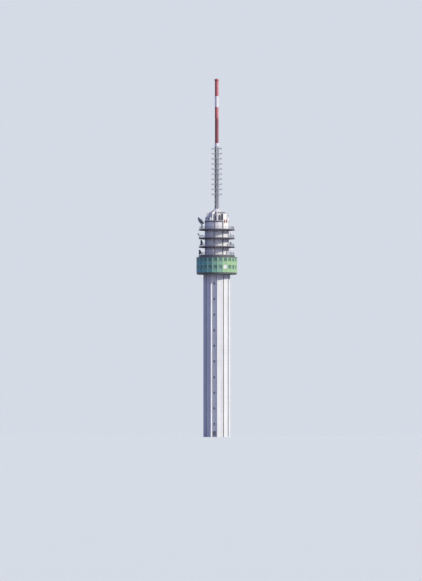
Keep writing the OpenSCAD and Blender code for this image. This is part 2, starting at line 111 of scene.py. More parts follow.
across = Vector((math.cos(math.radians(VIEW_ANGLE)), math.sin(math.radians(VIEW_ANGLE)), 0))
aim = across * (PICTURE[0] / 2 - AXIS_COLUMN) * PIXEL
aim.z = (GROUND_ROW - PICTURE[1] / 2) * PIXEL
camera = bpy.data.objects.new("camera", bpy.data.cameras.new("camera"))
camera.data.sensor_width = SENSOR
camera.data.lens = SENSOR * VIEW_DISTANCE / (PICTURE[1] * PIXEL)
camera.data.clip_end = 2000
camera.location = polar(VIEW_DISTANCE, VIEW_ANGLE, EYE_HEIGHT)
camera.rotation_euler = (aim - camera.location).to_track_quat("-Z", "Y").to_euler()
bpy.context.scene.collection.objects.link(camera)
bpy.context.scene.camera = camera
print("Lens", round(camera.data.lens, 1), "mm, aimed at", tuple(round(v, 3) for v in aim))

# %% [markdown]
# ## Sums on wires
# A material or a Geometry Nodes tree is a graph of nodes, and sums are easier to read as text than as
# links. `Wire` holds one output socket. Adding or multiplying wires puts the Math node in, and `node`
# adds any other kind of node, with its settings first and its inputs after them.


# %% The Wire class
def operator(operation, swapped=False):
    """A method that joins a wire and another value by one Math node."""
    def run(self, other):
        pair = (other, self) if swapped else (self, other)
        return self.math(operation, *pair)
    return run


class Wire:
    """One output socket of a node tree, which can be used in sums."""

    def __init__(self, tree, socket):
        self.tree = tree
        self.socket = socket

    def node(self, kind, settings=None, inputs=None, out=0):
        """Adds a node of a kind to the same tree and gives the wire of one of its outputs."""
        made = self.tree.nodes.new(kind)
        for name, value in (settings or {}).items():
            if name == "stops":
                fill_ramp(made.color_ramp, value)
            else:
                setattr(made, name, value)
        for name, value in (inputs or {}).items():
            if isinstance(value, Wire):
                self.tree.links.new(value.socket, made.inputs[name])
            else:
                made.inputs[name].default_value = value
        return Wire(self.tree, made.outputs[out])

    def math(self, operation, first, second=0.0):
        return self.node("ShaderNodeMath", {"operation": operation}, {0: first, 1: second})

    __add__ = operator("ADD")
    __radd__ = operator("ADD", True)
    __sub__ = operator("SUBTRACT")
    __rsub__ = operator("SUBTRACT", True)
    __mul__ = operator("MULTIPLY")
    __rmul__ = operator("MULTIPLY", True)
    __truediv__ = operator("DIVIDE")
    __gt__ = operator("GREATER_THAN")
    __lt__ = operator("LESS_THAN")


def fill_ramp(ramp, stops):
    """Gives a colour ramp its stops: pairs of a place from 0 to 1 and a grey value."""
    while len(ramp.elements) < len(stops):
        ramp.elements.new(0.5)
    for element, (place, grey) in zip(ramp.elements, stops):
        element.position = place
        element.color = (grey, grey, grey, 1)


print("Wires are ready")

# %% [markdown]
# ## Patterns that weather leaves
# Paint on a tower fails in a few ways: clouds of dirt, streaks that run down, thin lines at the joints
# of the formwork, and stains at edges. Each is a small function that reads the piece's own coordinates,
# so that the pattern stays put on it from any side. Its scale is the real one, at a tenth.


# %% Pattern helpers
def start_finish(name):
    """A new material, with its shader and the wire of the piece's own coordinates."""
    material = bpy.data.materials.new(name)
    material.use_nodes = True
    tree = material.node_tree
    shader = next(n for n in tree.nodes if n.type == "BSDF_PRINCIPLED")
    place = Wire(tree, tree.nodes.new("ShaderNodeTexCoord").outputs["Object"])
    return material, shader, place


def feed(shader, name, wire):
    """Links a wire to one of the shader's sockets."""
    wire.tree.links.new(wire.socket, shader.inputs[name])


def coordinate(place, axis):
    """One coordinate of a vector: 0 for x, 1 for y, 2 for z."""
    return place.node("ShaderNodeSeparateXYZ", None, {0: place}, out=axis)


def noise(place, scale, detail=3.0, stretch=(1, 1, 1)):
    """Noise from 0 to 1. A stretch under 1 draws the pattern out along that axis."""
    scaled = place.node("ShaderNodeVectorMath", {"operation": "MULTIPLY"}, {0: place, 1: stretch})
    return place.node("ShaderNodeTexNoise", None, {"Vector": scaled, "Scale": scale, "Detail": detail})


def ramp(value, *stops):
    """Maps a value through stops, each a place and a grey."""
    return value.node("ShaderNodeValToRGB", {"stops": stops}, {0: value})


def blend(share, low, high):
    """Mixes two colours, given as triples or wires, by a share from 0 to 1."""
    colours = [c if isinstance(c, Wire) else (*c, 1) for c in (low, high)]
    settings = {"data_type": "RGBA", "clamp_factor": True}
    return share.node("ShaderNodeMix", settings, {0: share, 6: colours[0], 7: colours[1]}, out=2)


def darker(colour, share):
    """A colour at a share of its brightness."""
    return [c * share for c in colour]


def direction_of(place):
    """The direction around the axis, in turns from -0.5 to 0.5."""
    angle = place.math("ARCTAN2", coordinate(place, 0), 0 - coordinate(place, 1))
    return angle / math.tau


def distance_of(place):
    """The distance from the axis."""
    x, y = coordinate(place, 0), coordinate(place, 1)
    return place.math("SQRT", x * x + y * y)


def joints(value, pitch, width):
    """1 on thin lines that repeat with a pitch, and 0 between them."""
    return value.math("PINGPONG", value / pitch, 0.5) < width / pitch / 2


def streaks(place, scale=16.0):
    """Runs of dirt: noise drawn out a long way downwards."""
    return ramp(noise(place, scale, 4.0, (1, 1, 0.035)), (0.45, 0), (0.75, 1))


def clouds(place, scale=1.6):
    """Broad patches."""
    return ramp(noise(place, scale, 4.0), (0.35, 0), (0.7, 1))


def raise_surface(shader, height, distance, strength=1.0):
    """Feeds the shader's normal from a height given in units of distance."""
    inputs = {"Height": height, "Distance": distance, "Strength": strength}
    feed(shader, "Normal", height.node("ShaderNodeBump", None, inputs))


print("Pattern helpers are ready")

# %% [markdown]
# ## Concrete
# The shaft and drum were cast in lifts about three metres high and then painted white. The joints
# between lifts still show as hairlines, rain has drawn grey runs down from them, and the paint has
# dulled in patches. The drum was painted later, so it is a little cleaner and creamier than the
# shaft. The upper part of every storey of the drum, under the deck above, is darkened in runs: that is
# painted shade under the platforms. The slits between the slabs are darkened too, as painted shade.
# One function makes both the painted and the bare concrete, because only their colours and the
# strength of the marks differ.

# %% Make the concrete finishes
LIFT = 0.3
LIFT_SHIFT = 0.11
JOINT_W = 0.0035
DRUM_FOOT = 7.6
# Half of a slit's width in turns, and the distance from the axis that its corner walls keep within
SLIT_TURNS = 0.009
SLIT_DEPTH = 0.512
CONCRETE_SHEEN = 0.25
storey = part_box("platform_2")[0].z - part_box("platform_1")[0].z


def make_concrete(name, colour, newer, dirt, dirt_share, roughness):
    """Cast concrete with lift joints, runs of dirt and painted shade. The newer colour is the drum's."""
    material, shader, place = start_finish(name)
    height = coordinate(place, 2)
    on_drum = height > DRUM_FOOT
    lift_joint = joints(height + LIFT_SHIFT, LIFT, JOINT_W) * (1 - on_drum)
    runs = streaks(place) * (0.4 + 0.6 * noise(place, 0.9, 2.0))
    grain = noise(place, 90.0, 5.0)
    # Painted shade under the platforms: the upper part of every drum storey is darkened, broken into runs
    up_storey = height.math("FRACT", (height - DRUM_FOOT) / storey)
    painted_deck_shade = ramp(up_storey, (0.55, 0), (0.95, 1)) * on_drum * streaks(place, 24.0)
    # Painted shade in the slits between the slabs
    diagonal = place.math("PINGPONG", direction_of(place) + 0.125, 0.125)
    painted_slit_shade = (diagonal < SLIT_TURNS) * (distance_of(place) < SLIT_DEPTH) * (1 - on_drum)
    base = blend(on_drum, colour, newer)
    base = blend(clouds(place) * (0.5 * dirt_share), base, dirt)
    base = blend(runs * dirt_share, base, dirt)
    base = blend(lift_joint * (1.2 * dirt_share), base, dirt)
    base = blend(painted_deck_shade * (2.4 * dirt_share), base, darker(dirt, 0.5))
    base = blend(painted_slit_shade * 0.6, base, darker(dirt, 0.4))
    feed(shader, "Base Color", base)
    feed(shader, "Roughness", roughness + 0.2 * grain)
    shader.inputs["Specular IOR Level"].default_value = CONCRETE_SHEEN
    boards = noise(place, 26.0, 2.0, (1, 1, 0.12))
    raise_surface(shader, grain * 0.35 + boards * 0.4 - lift_joint * 1.5, 0.0012, 0.7)
    return material


white_concrete = make_concrete("painted_concrete", (0.75, 0.76, 0.76), (0.86, 0.85, 0.82),
                               (0.42, 0.40, 0.38), 0.34, 0.62)
floor_concrete = make_concrete("bare_concrete", (0.34, 0.34, 0.35), (0.30, 0.30, 0.31),
                               (0.16, 0.15, 0.14), 0.6, 0.7)
print("Concrete:", white_concrete.name, "and", floor_concrete.name, "with storeys of", round(storey, 4))

# %% [markdown]
# ## Coated sheet and paint
# The round house is clad in green coated sheet with lighter green posts. Its coating fades where the
# sun stands on it, and its colour turns with the direction around the axis: a yellow green towards
# the sun, which is also painted light, and a deep blue green on the far side, which is painted shade.
# Sheets also differ a little from bay to bay, so the direction around the axis gives both. Dirt runs
# down below the windows. Painted steel is simpler, with rust that breaks through in patches.

# %% Make the paint finishes
BAYS = 24
SUNNY_SIDE = 80.0
SHEET_SHEEN = 0.3
RUST = (0.20, 0.075, 0.035)


def sun_fade_and_light(place):
    """How much sun a side gets, from 0 to 1: real fading over the years, and painted light and shade."""
    return place.math("COSINE", direction_of(place) * math.tau - math.radians(SUNNY_SIDE)) * 0.5 + 0.5


def make_coated_sheet(name, colour, faded_and_lit, roughness):
    """Coated sheet that fades to the sunny side, with painted light and shade, and differs by bay."""
    material, shader, place = start_finish(name)
    bay = place.math("FLOOR", direction_of(place) * BAYS)
    shade = bay.node("ShaderNodeTexWhiteNoise", {"noise_dimensions": "1D"}, {"W": bay})
    # The sunny side takes the second colour: real fading and painted light. The far side is painted shade
    base = blend(sun_fade_and_light(place) * 0.8 + shade * 0.12 + clouds(place, 3.0) * 0.12, colour, faded_and_lit)
    runs = streaks(place, 30.0)
    feed(shader, "Base Color", blend(runs * 0.22, base, darker(colour, 0.5)))
    feed(shader, "Roughness", roughness + 0.15 * noise(place, 14.0))
    shader.inputs["Specular IOR Level"].default_value = SHEET_SHEEN
    raise_surface(shader, noise(place, 220.0, 2.0) + runs * 0.3, 0.0004, 0.4)
    return material


def make_paint(name, colour, rust_share, roughness, dirt=(0.13, 0.12, 0.11)):
    """Paint on steel, with dirt and with patches of rust."""
    material, shader, place = start_finish(name)
    patches = ramp(noise(place, 9.0, 6.0), (0.60, 0), (0.70, 1))
    base = blend(clouds(place, 4.0) * 0.25 + streaks(place, 40.0) * 0.25, colour, dirt)
    feed(shader, "Base Color", blend(patches * rust_share, base, RUST))
    feed(shader, "Roughness", roughness + patches * 0.25)
    raise_surface(shader, noise(place, 160.0, 3.0) - patches * rust_share, 0.0005, 0.5)
    return material


# The first colour is the far side, painted shade. The second is the sunny side, faded and painted light
green_cladding = make_coated_sheet("green_sheet", (0.035, 0.31, 0.46), (0.36, 0.53, 0.26), 0.38)
green_post = make_coated_sheet("green_post_sheet", (0.14, 0.44, 0.50), (0.46, 0.66, 0.37), 0.35)
platform_steel = make_paint("dark_deck_paint", (0.095, 0.085, 0.12), 0.35, 0.5)
white_steel = make_paint("white_steel_paint", (0.74, 0.74, 0.76), 0.25, 0.4, (0.42, 0.40, 0.38))
grey_door = make_paint("grey_steel_paint", (0.20, 0.205, 0.23), 0.15, 0.42)
pale_door = make_paint("pale_door_paint", (0.45, 0.455, 0.48), 0.15, 0.42)
dish_grey = make_paint("dish_paint", (0.27, 0.30, 0.36), 0.12, 0.45, (0.22, 0.22, 0.22))
vent_brown = make_paint("vent_brown", (0.26, 0.07, 0.055), 0.5, 0.6)
green_steel = make_paint("green_steel", (0.05, 0.075, 0.065), 0.1, 0.5)
print("Paint finishes made")

# %% [markdown]
# ## Galvanised steel, roof and shells
# Hot-dip zinc freezes in flat crystals, the spangle, which cells of a Voronoi texture give. The roof
# of the round house has a green painted rim and a grey membrane with radial seams inside it, told apart
# by the distance from the axis. The antenna shells are glass fibre whose paint has streaked and has
# chalked most on the side that the sun bleaches. That side's colour is also painted light, and the far
# side's is painted shade.

# %% Make the metal, roof and shell finishes
ROOF_RIM = 0.753
MEMBRANE_SEAMS = 36
SEAM_TURNS = 0.0012
ZINC_METALLIC = 0.35


def make_galvanised(name, colour, dark):
    """Zinc with its spangle, between a bright and a dark colour."""
    material, shader, place = start_finish(name)
    cell = place.node("ShaderNodeTexVoronoi", None, {"Vector": place, "Scale": 130.0}, out=1)
    spangle = coordinate(cell, 0)
    weather = noise(place, 5.0, 5.0)
    feed(shader, "Base Color", blend(spangle * 0.35 + weather * 0.5, colour, dark))
    feed(shader, "Roughness", 0.42 + 0.25 * weather)
    shader.inputs["Metallic"].default_value = ZINC_METALLIC
    raise_surface(shader, spangle * 0.4 + noise(place, 300.0, 2.0), 0.0003, 0.35)
    return material


def make_roof(name):
    """A grey membrane with radial seams inside a green rim."""
    material, shader, place = start_finish(name)
    outside = distance_of(place) > ROOF_RIM
    seams = joints(direction_of(place), 1 / MEMBRANE_SEAMS, SEAM_TURNS)
    dirt = clouds(place, 5.0)
    membrane = blend(seams * 0.6 + dirt * 0.4, (0.30, 0.30, 0.32), (0.16, 0.16, 0.17))
    rim = blend(dirt * 0.4, (0.25, 0.46, 0.30), (0.16, 0.27, 0.19))
    feed(shader, "Base Color", blend(outside, membrane, rim))
    feed(shader, "Roughness", 0.75 - outside * 0.3)
    raise_surface(shader, seams + noise(place, 120.0, 3.0) * 0.5, 0.0012, 0.5)
    return material


def make_shell(name, colour, chalk_and_light, runs_share=0.35):
    """Glass fibre whose paint chalks where the sun stands on it, with painted light and shade by side."""
    material, shader, place = start_finish(name)
    runs = streaks(place, 34.0)
    # The sunny side takes the second colour: real chalking and painted light. The far side is painted shade
    sun = sun_fade_and_light(place)
    base = blend(sun * sun * sun * 0.85 + clouds(place, 6.0) * 0.15, colour, chalk_and_light)
    feed(shader, "Base Color", blend(runs * runs_share, base, darker(colour, 0.55)))
    feed(shader, "Roughness", 0.32 + 0.25 * noise(place, 8.0))
    raise_surface(shader, noise(place, 60.0, 3.0), 0.0006, 0.3)
    return material


galvanised_steel = make_galvanised("weathered_zinc", (0.30, 0.33, 0.38), (0.19, 0.21, 0.25))
mast_steel = make_galvanised("newer_zinc", (0.60, 0.61, 0.65), (0.42, 0.44, 0.48))
arm_steel = make_galvanised("aged_zinc", (0.17, 0.19, 0.23), (0.10, 0.115, 0.14))
green_roof = make_roof("roof_membrane_and_rim")
# Each shell's second colour goes on its sunny side and its first on the far side: painted light and shade,
# besides real chalking
red_antenna = make_shell("dark_red_shell", (0.20, 0.025, 0.045), (0.44, 0.16, 0.18))
red_shell = make_shell("bright_red_shell", (0.36, 0.030, 0.05), (0.66, 0.30, 0.31))
white_shell = make_shell("chalky_white_shell", (0.80, 0.79, 0.80), (0.70, 0.68, 0.67), 0.2)
antenna_white = make_shell("dish_cover_white", (0.50, 0.50, 0.54), (0.64, 0.62, 0.62))
# Dark covers for the first dishes: on those on the shaded left side they are painted shade
dark_cover_and_painted_shade = make_shell("dish_cover_dark_and_painted_shade", (0.15, 0.16, 0.20), (0.22, 0.22, 0.25))
print("Metal, roof and shell finishes made")

# %% [markdown]
# ## Glass, cable and lamp
# Window glass seen from far away is a dark, glossy sheet. Here the glass's own dark colour, mostly
# opaque, stands for the unlit room behind it and is painted shade. Some of the room still shows through,
# and the gloss gives the reflection. A part-clear surface does this with far less noise than true
# refraction. Dust on the glass is noise in its roughness. The round house has tinted sun glass, which is
# greener and paler.


# %% Make the glass, cable and lamp finishes
def make_glass(name, colour, clearness):
    """Part-clear window glass with dust on it, whose dark colour is painted shade of the room behind."""
    material, shader, place = start_finish(name)
    dust = ramp(noise(place, 12.0, 4.0, (1, 1, 0.4)), (0.4, 0), (0.8, 1))
    # Painted shade: the glass's dark colour stands for the unlit room behind it
    feed(shader, "Base Color", blend(dust * 0.3, colour, (0.10, 0.11, 0.11)))
    feed(shader, "Roughness", 0.05 + 0.2 * dust)
    feed(shader, "Alpha", (1 - clearness) + dust * (clearness * 0.5))
    return material


def make_plain(name, colour, worn, roughness):
    """A simple finish for small pieces: a worn second colour in fine noise."""
    material, shader, place = start_finish(name)
    wear = ramp(noise(place, 45.0, 4.0), (0.4, 0), (0.8, 1))
    feed(shader, "Base Color", blend(wear * 0.6, colour, worn))
    feed(shader, "Roughness", roughness + 0.2 * wear)
    raise_surface(shader, wear, 0.0004, 0.3)
    return material


window_glass = make_glass("window_glass", (0.055, 0.095, 0.085), 0.3)
house_glass = make_glass("house_glass", (0.12, 0.22, 0.19), 0.2)
black_cable = make_plain("black_cable", (0.035, 0.035, 0.04), (0.08, 0.08, 0.08), 0.5)
grey_cable = make_plain("grey_cable", (0.38, 0.385, 0.40), (0.24, 0.24, 0.25), 0.5)
lamp_glass = make_plain("lamp_glass", (0.55, 0.56, 0.55), (0.4, 0.4, 0.38), 0.15)
print("Glass and small finishes made")

# %% [markdown]
# ## Paint the CAD pieces
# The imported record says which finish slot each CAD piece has, so the pieces are painted in one loop.
# Their meshes stay exactly as they are. Only the material slots are filled. A few pieces have a finish
# of their own: the mast's steel is newer and paler than the rest of the zinc, its antenna arms have gone
# dark, and the drum's doors are paler than the entrance.

# %% Paint every CAD piece
SLOT_FINISH = {
    "white_concrete": white_concrete,
    "floor_concrete": floor_concrete,
    "green_cladding": green_cladding,
    "green_post": green_post,
    "green_roof": green_roof,
    "platform_steel": platform_steel,
    "galvanised_steel": galvanised_steel,
    "white_steel": white_steel,
    "grey_door": grey_door,
    "red_antenna": red_antenna,
    "red_shell": red_shell,
    "white_shell": white_shell,
    "dish_grey": dish_grey,
    "antenna_white": antenna_white,
}
OWN_FINISH = {"drum_doors": pale_door, "antenna_arms": arm_steel, "mast_legs": mast_steel}
for side in ("front", "right", "back", "left"):
    OWN_FINISH["mast_side_" + side] = mast_steel
for row in frame["record"]["subparts"]:
    node = frame["nodes"][row["node"]]
    finish = OWN_FINISH.get(row["node"], SLOT_FINISH[row["material_slot"]])
    node.data.materials.clear()
    node.data.materials.append(finish)

# %% [markdown]
# ## Building solids
# Fittings are made of three kinds of closed solid: a flat outline drawn out along a vector, a rod, and
# a profile turned about the axis. Each closes itself, so one recalculation of the normals at the end
# makes every face look outwards. At the front, how far out a thing stands is its distance from the
# axis, so the helpers after them take distances and turn them into the minus y of the front.


# %% Solid helpers
def add_drawn(mesh, outline, along):
    """Adds a flat outline of points, drawn out by a vector."""
    along = Vector(along)
    near = [mesh.verts.new(p) for p in outline]
    far = [mesh.verts.new(Vector(p) + along) for p in outline]
    mesh.faces.new(near)
    mesh.faces.new(list(reversed(far)))
    for i in range(len(near)):
        k = (i + 1) % len(near)
        mesh.faces.new((near[i], far[i], far[k], near[k]))


def add_rod(mesh, start, end, radius, sides=8):
    """Adds a round rod between two points."""
    start, end = Vector(start), Vector(end)
    along = end - start
    aside = along.orthogonal().normalized()
    other = along.normalized().cross(aside)
    circle = [math.tau * i / sides for i in range(sides)]
    outline = [start + radius * (math.cos(t) * aside + math.sin(t) * other) for t in circle]
    add_drawn(mesh, outline, along)


def add_turned(mesh, profile, sides=96, place=Matrix.Identity(4)):
    """Adds a closed profile of (radius, height) points, turned about the axis of a placing matrix."""
    rings = []
    for radius, z in profile:
        count = sides if radius > 1e-6 else 1
        rings.append([mesh.verts.new(place @ polar(radius, 360 * i / sides, z)) for i in range(count)])
    open_profile = len(rings[0]) == 1 and len(rings[-1]) == 1
    for k in range(len(rings) - 1 if open_profile else len(rings)):
        low, high = rings[k], rings[(k + 1) % len(rings)]
        for i in range(sides):
            j = (i + 1) % sides
            corners = [low[i % len(low)], low[j % len(low)], high[j % len(high)], high[i % len(high)]]
            mesh.faces.new(list(dict.fromkeys(corners)))


print("Outlines, rods and turned profiles are ready")

# %% [markdown]
# ## Shapes at the front
# Most fittings are blocks, profiles, frames, pins and rings on a wall at the front, so each of these
# has one short function. They are all made from the three solids above, apart from the window frame,
# whose four mitred bars are one closed loop.


# %% Shape helpers
# How far fittings stay off the faces that carry them, so that no two faces lie in one plane
CLEAR = 0.0003


def add_block(mesh, across, outwards, heights, edge=0.0, place=Matrix.Identity(4)):
    """Adds a block between two x, two distances and two heights. An edge cuts off its upright edges."""
    (x0, x1), (near, far), (z0, z1) = across, outwards, heights
    y0, y1, e = -far, -near, edge
    if e:
        plan = ((x0 + e, y0), (x1 - e, y0), (x1, y0 + e), (x1, y1 - e),
                (x1 - e, y1), (x0 + e, y1), (x0, y1 - e), (x0, y0 + e))
    else:
        plan = ((x0, y0), (x1, y0), (x1, y1), (x0, y1))
    add_drawn(mesh, [place @ Vector((x, y, z0)) for x, y in plan], place.to_3x3() @ Vector((0, 0, z1 - z0)))


def add_across(mesh, width, profile, middle=0.0):
    """Adds a profile of (distance, height) points, drawn across a width."""
    add_drawn(mesh, [(middle - width / 2, -out, z) for out, z in profile], (width, 0, 0))


def add_upwards(mesh, plan, low, high):
    """Adds a plan of (x, distance) points, drawn up between two heights."""
    add_drawn(mesh, [(x, -out, low) for x, out in plan], (0, 0, high - low))


def add_upright(mesh, x, out, low, high, radius, sides=8):
    """Adds an upright rod."""
    add_rod(mesh, (x, -out, low), (x, -out, high), radius, sides)


def add_pin(mesh, x, z, near, far, radius):
    """Adds a rod that stands out from a wall."""
    add_rod(mesh, (x, -near, z), (x, -far, z), radius, 6)


def add_band(mesh, inner, outer, low, high, sides=96, place=Matrix.Identity(4)):
    """Adds a ring of square section between two radii and two heights."""
    add_turned(mesh, [(inner, low), (outer, low), (outer, high), (inner, high)], sides, place)


def add_disc(mesh, radius, low, high, sides, place=Matrix.Identity(4)):
    """Adds an upright disc or post."""
    add_band(mesh, 0, radius, low, high, sides, place)


def add_frame(mesh, low, high, bar, front, back):
    """Adds a rectangular frame between two (x, z) corners, with its faces at two distances."""
    (x0, z0), (x1, z1) = low, high
    outer = ((x0, z0), (x1, z0), (x1, z1), (x0, z1))
    inner = ((x0 + bar, z0 + bar), (x1 - bar, z0 + bar), (x1 - bar, z1 - bar), (x0 + bar, z1 - bar))
    loops = [[mesh.verts.new((x, -out, z)) for x, z in loop]
             for loop, out in ((outer, front), (inner, front), (inner, back), (outer, back))]
    for k in range(4):
        one, two = loops[k], loops[(k + 1) % 4]
        for i in range(4):
            j = (i + 1) % 4
            mesh.faces.new((one[i], one[j], two[j], two[i]))


def add_slat(mesh, width, back, front, low, middle=0.0):
    """Adds a louvre slat that slopes down outwards."""
    add_across(mesh, width, [(back, low + 0.006), (front, low), (front, low + 0.0015), (back, low + 0.0075)],
               middle)


def add_handle(mesh, x, face, low, high, stand, radius, inset, pin_r):
    """Adds an upright pull handle that stands off a door on two pins."""
    add_upright(mesh, x, face + stand, low, high, radius)
    for z in (low + inset, high - inset):
        add_pin(mesh, x, z, face - 0.001, face + stand, pin_r)


def add_tapered_beam(mesh, start, end, top, deep, shallow, web_t, flange_w, flange_t):
    """Adds a beam that tapers outwards: an upright web and a flange along its lower edge."""
    foot, tip = top - deep, top - shallow
    add_across(mesh, web_t, [(start, top), (end, top), (end, tip), (start, foot)])
    add_across(mesh, flange_w, [(start, foot), (end, tip), (end, tip - flange_t), (start, foot - flange_t)])


print("Shape helpers are ready")

# %% [markdown]
# ## From solids to pieces
# `build` runs a function that fills an empty mesh and hands the mesh back, and `placed` turns it to a
# direction as well. `fit` makes the finished piece: it names the piece, smooths the shading of round
# faces, gives it its finish, and lets it ride on the tower. A table gives the record's slot for each
# finish, which `fit` looks up but does not keep on the piece.

# %% Piece helpers
SMOOTH_ANGLE = math.radians(35)
SLOT_OF = {finish.name: slot for slot, finish in SLOT_FINISH.items()}
# Finishes that only fittings have
SLOT_OF.update({
    window_glass.name: "grey_door",
    house_glass.name: "grey_door",
    black_cable.name: "grey_door",
    grey_cable.name: "grey_door",
    mast_steel.name: "galvanised_steel",
    arm_steel.name: "galvanised_steel",
    green_steel.name: "platform_steel",
    vent_brown.name: "red_antenna",
    dark_cover_and_painted_shade.name: "dish_grey",
    lamp_glass.name: "white_shell",
})
fitted = []


def build(fill, *sizes):
    """Runs a function that fills an empty mesh, and gives the mesh with its faces outwards."""
    work = bmesh.new()
    fill(work, *sizes)
    bmesh.ops.recalc_face_normals(work, faces=work.faces)
    data = bpy.data.meshes.new("part")
    work.to_mesh(data)
    work.free()
    return data


def placed(angle, fill, *sizes):
    """A part that is filled at the front and turned to a direction."""
    data = build(fill, *sizes)
    data.transform(turn(angle))
    return data


def join_meshes(meshes):
    """Joins several meshes into one."""
    work = bmesh.new()
    for data in meshes:
        work.from_mesh(data)
    joined = bpy.data.meshes.new("part")
    work.to_mesh(joined)
    work.free()
    return joined


def fit(name, data, finish, slot_name=None):
    """Makes a piece of the tower from a mesh that is already in place."""
    slot_name = slot_name or SLOT_OF[finish.name]
    data.name = name
    data.materials.clear()
    data.materials.append(finish)
    for face in data.polygons:
        face.material_index = 0
    data.shade_smooth()
    data.set_sharp_from_angle(angle=SMOOTH_ANGLE)
    piece = bpy.data.objects.new(name, data)
    bpy.context.scene.collection.objects.link(piece)
    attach(piece, "root")
    fitted.append(piece)
    print(name, "has", len(data.polygons), "faces")
    return piece


print(len(SLOT_OF), "finishes know their slot")

# %% [markdown]
# ## Geometry Nodes trees
# Windows, beams, bolts and gussets repeat in rings and in rows of storeys, and cables and handrails
# follow lines. Both are rules, so Geometry Nodes make them. A tree is started with named inputs and
# ends in realised geometry with its finish, because only plain meshes are kept. It runs as a modifier
# on a worker object, which hands back the evaluated mesh and is thrown away.


# %% Tree helpers
def start_tree(name, inputs):
    """A new geometry tree with named inputs, and the wires of those inputs by name."""
    tree = bpy.data.node_groups.new(name, "GeometryNodeTree")
    tree.interface.new_socket("Geometry", in_out="INPUT", socket_type="NodeSocketGeometry")
    for label, kind in inputs:
        tree.interface.new_socket(label, in_out="INPUT", socket_type="NodeSocket" + kind)
    tree.interface.new_socket("Geometry", in_out="OUTPUT", socket_type="NodeSocketGeometry")
    entry = tree.nodes.new("NodeGroupInput")
    return {s.name: Wire(tree, s) for s in entry.outputs if s.name}


def end_tree(geometry, finish):
    """Ends a tree with realised geometry in its finish, and gives the tree."""
    solid = geometry.node("GeometryNodeRealizeInstances", None, {"Geometry": geometry})
    painted = solid.node("GeometryNodeSetMaterial", None, {"Geometry": solid, "Material": finish})
    tree = geometry.tree
    tree.links.new(painted.socket, tree.nodes.new("NodeGroupOutput").inputs[0])
    return tree


def run_tree(tree, data, values):
    """Runs a tree on a mesh with its inputs set, and gives the resulting plain mesh."""
    worker = bpy.data.objects.new("worker", data)
    bpy.context.scene.collection.objects.link(worker)
    modifier = worker.modifiers.new("tree", "NODES")
    modifier.node_group = tree
    for item in tree.interface.items_tree:
        if item.in_out == "INPUT" and item.name in values:
            modifier[item.identifier] = values[item.name]
    graph = bpy.context.evaluated_depsgraph_get()
    result = bpy.data.meshes.new_from_object(worker.evaluated_get(graph))
    bpy.data.objects.remove(worker)
    return result


print("Tree helpers are ready")

# %% [markdown]
# ## A ring of parts
# This tree takes a part that was made at the front and sets copies of it around the axis on any number
# of levels. It makes one point for every copy, and the point's index gives both its level and its
# place in the ring, so one line of points is enough.


# %% Make the ring tree
def make_ring_tree():
    given = start_tree("ring of parts", [
        ("Count", "Int"), ("Start", "Float"), ("Step", "Float"),
        ("Levels", "Int"), ("Rise", "Float"), ("Finish", "Material")])
    part, count = given["Geometry"], given["Count"]
    line = part.node("GeometryNodeMeshLine", {"mode": "OFFSET"},
                     {"Count": count * given["Levels"], "Offset": (0, 0, 0)})
    index = part.node("GeometryNodeInputIndex")
    level = part.math("FLOOR", (index + 0.5) / count)
    angle = given["Start"] + (index - level * count) * given["Step"]
    lift = part.node("ShaderNodeCombineXYZ", None, {2: level * given["Rise"]})
    spin = part.node("ShaderNodeCombineXYZ", None, {2: angle})
    points = part.node("GeometryNodeSetPosition", None, {"Geometry": line, "Offset": lift})
    copies = part.node("GeometryNodeInstanceOnPoints", None,
                       {"Points": points, "Instance": part, "Rotation": spin})
    return end_tree(copies, given["Finish"])


ring_tree = make_ring_tree()


def ring_of(data, finish, count, start=0.0, levels=1, rise=0.0, step=None):
    """Copies of a part that was made at the front: count of them around, on some levels."""
    return run_tree(ring_tree, data, {
        "Count": count, "Start": math.radians(start), "Step": math.radians(step or 360 / count),
        "Levels": levels, "Rise": rise, "Finish": finish})


def fit_ring(name, data, finish, count, start=0.0, levels=1, rise=0.0):
    """Fits a ring of copies of a part as one piece."""
    return fit(name, ring_of(data, finish, count, start, levels, rise), finish)


print("Tree:", ring_tree.name)

# %% [markdown]
# ## Pipes along points
# A second tree gives lines of points a round section, for cables and handrails. The lines come in as
# the edges of a mesh, so one run makes any number of pipes, and a line that ends where it starts
# becomes a closed ring with no seam.


# %% Make the pipe tree
def make_pipe_tree():
    given = start_tree("pipe along points", [("Radius", "Float"), ("Sides", "Int"), ("Finish", "Material")])
    path = given["Geometry"].node("GeometryNodeMeshToCurve", None, {"Mesh": given["Geometry"]})
    round_section = path.node("GeometryNodeCurvePrimitiveCircle", {"mode": "RADIUS"},
                              {"Resolution": given["Sides"], "Radius": given["Radius"]})
    pipe = path.node("GeometryNodeCurveToMesh", None,
                     {"Curve": path, "Profile Curve": round_section, "Fill Caps": True})
    return end_tree(pipe, given["Finish"])


pipe_tree = make_pipe_tree()


def pipes(paths, radius, finish, sides=8):
    """Round pipes along lists of points. A path that ends where it starts is closed."""
    data = bpy.data.meshes.new("paths")
    points, edges = [], []
    for path in paths:
        closed = (Vector(path[0]) - Vector(path[-1])).length < 1e-6
        own = path[:-1] if closed else path
        first = len(points)
        points += [tuple(p) for p in own]
        edges += [(first + i, first + i + 1) for i in range(len(own) - 1)]
        if closed:
            edges.append((first + len(own) - 1, first))
    data.from_pydata(points, edges, [])
    return run_tree(pipe_tree, data, {"Radius": radius, "Sides": sides, "Finish": finish})


print("Tree:", pipe_tree.name)

# %% [markdown]
# ## Shaft windows
# Each of the four recesses has a column of small windows, two storeys apart, that light the stair. A
# window is a steel frame with one mullion, a pane, a sloping sill that throws the rain clear of the
# wall, and a drip strip over its head. The frame is made once, for the top window at the front, and
# the ring tree repeats it on four sides and ten levels. The row distance is read from the landings.

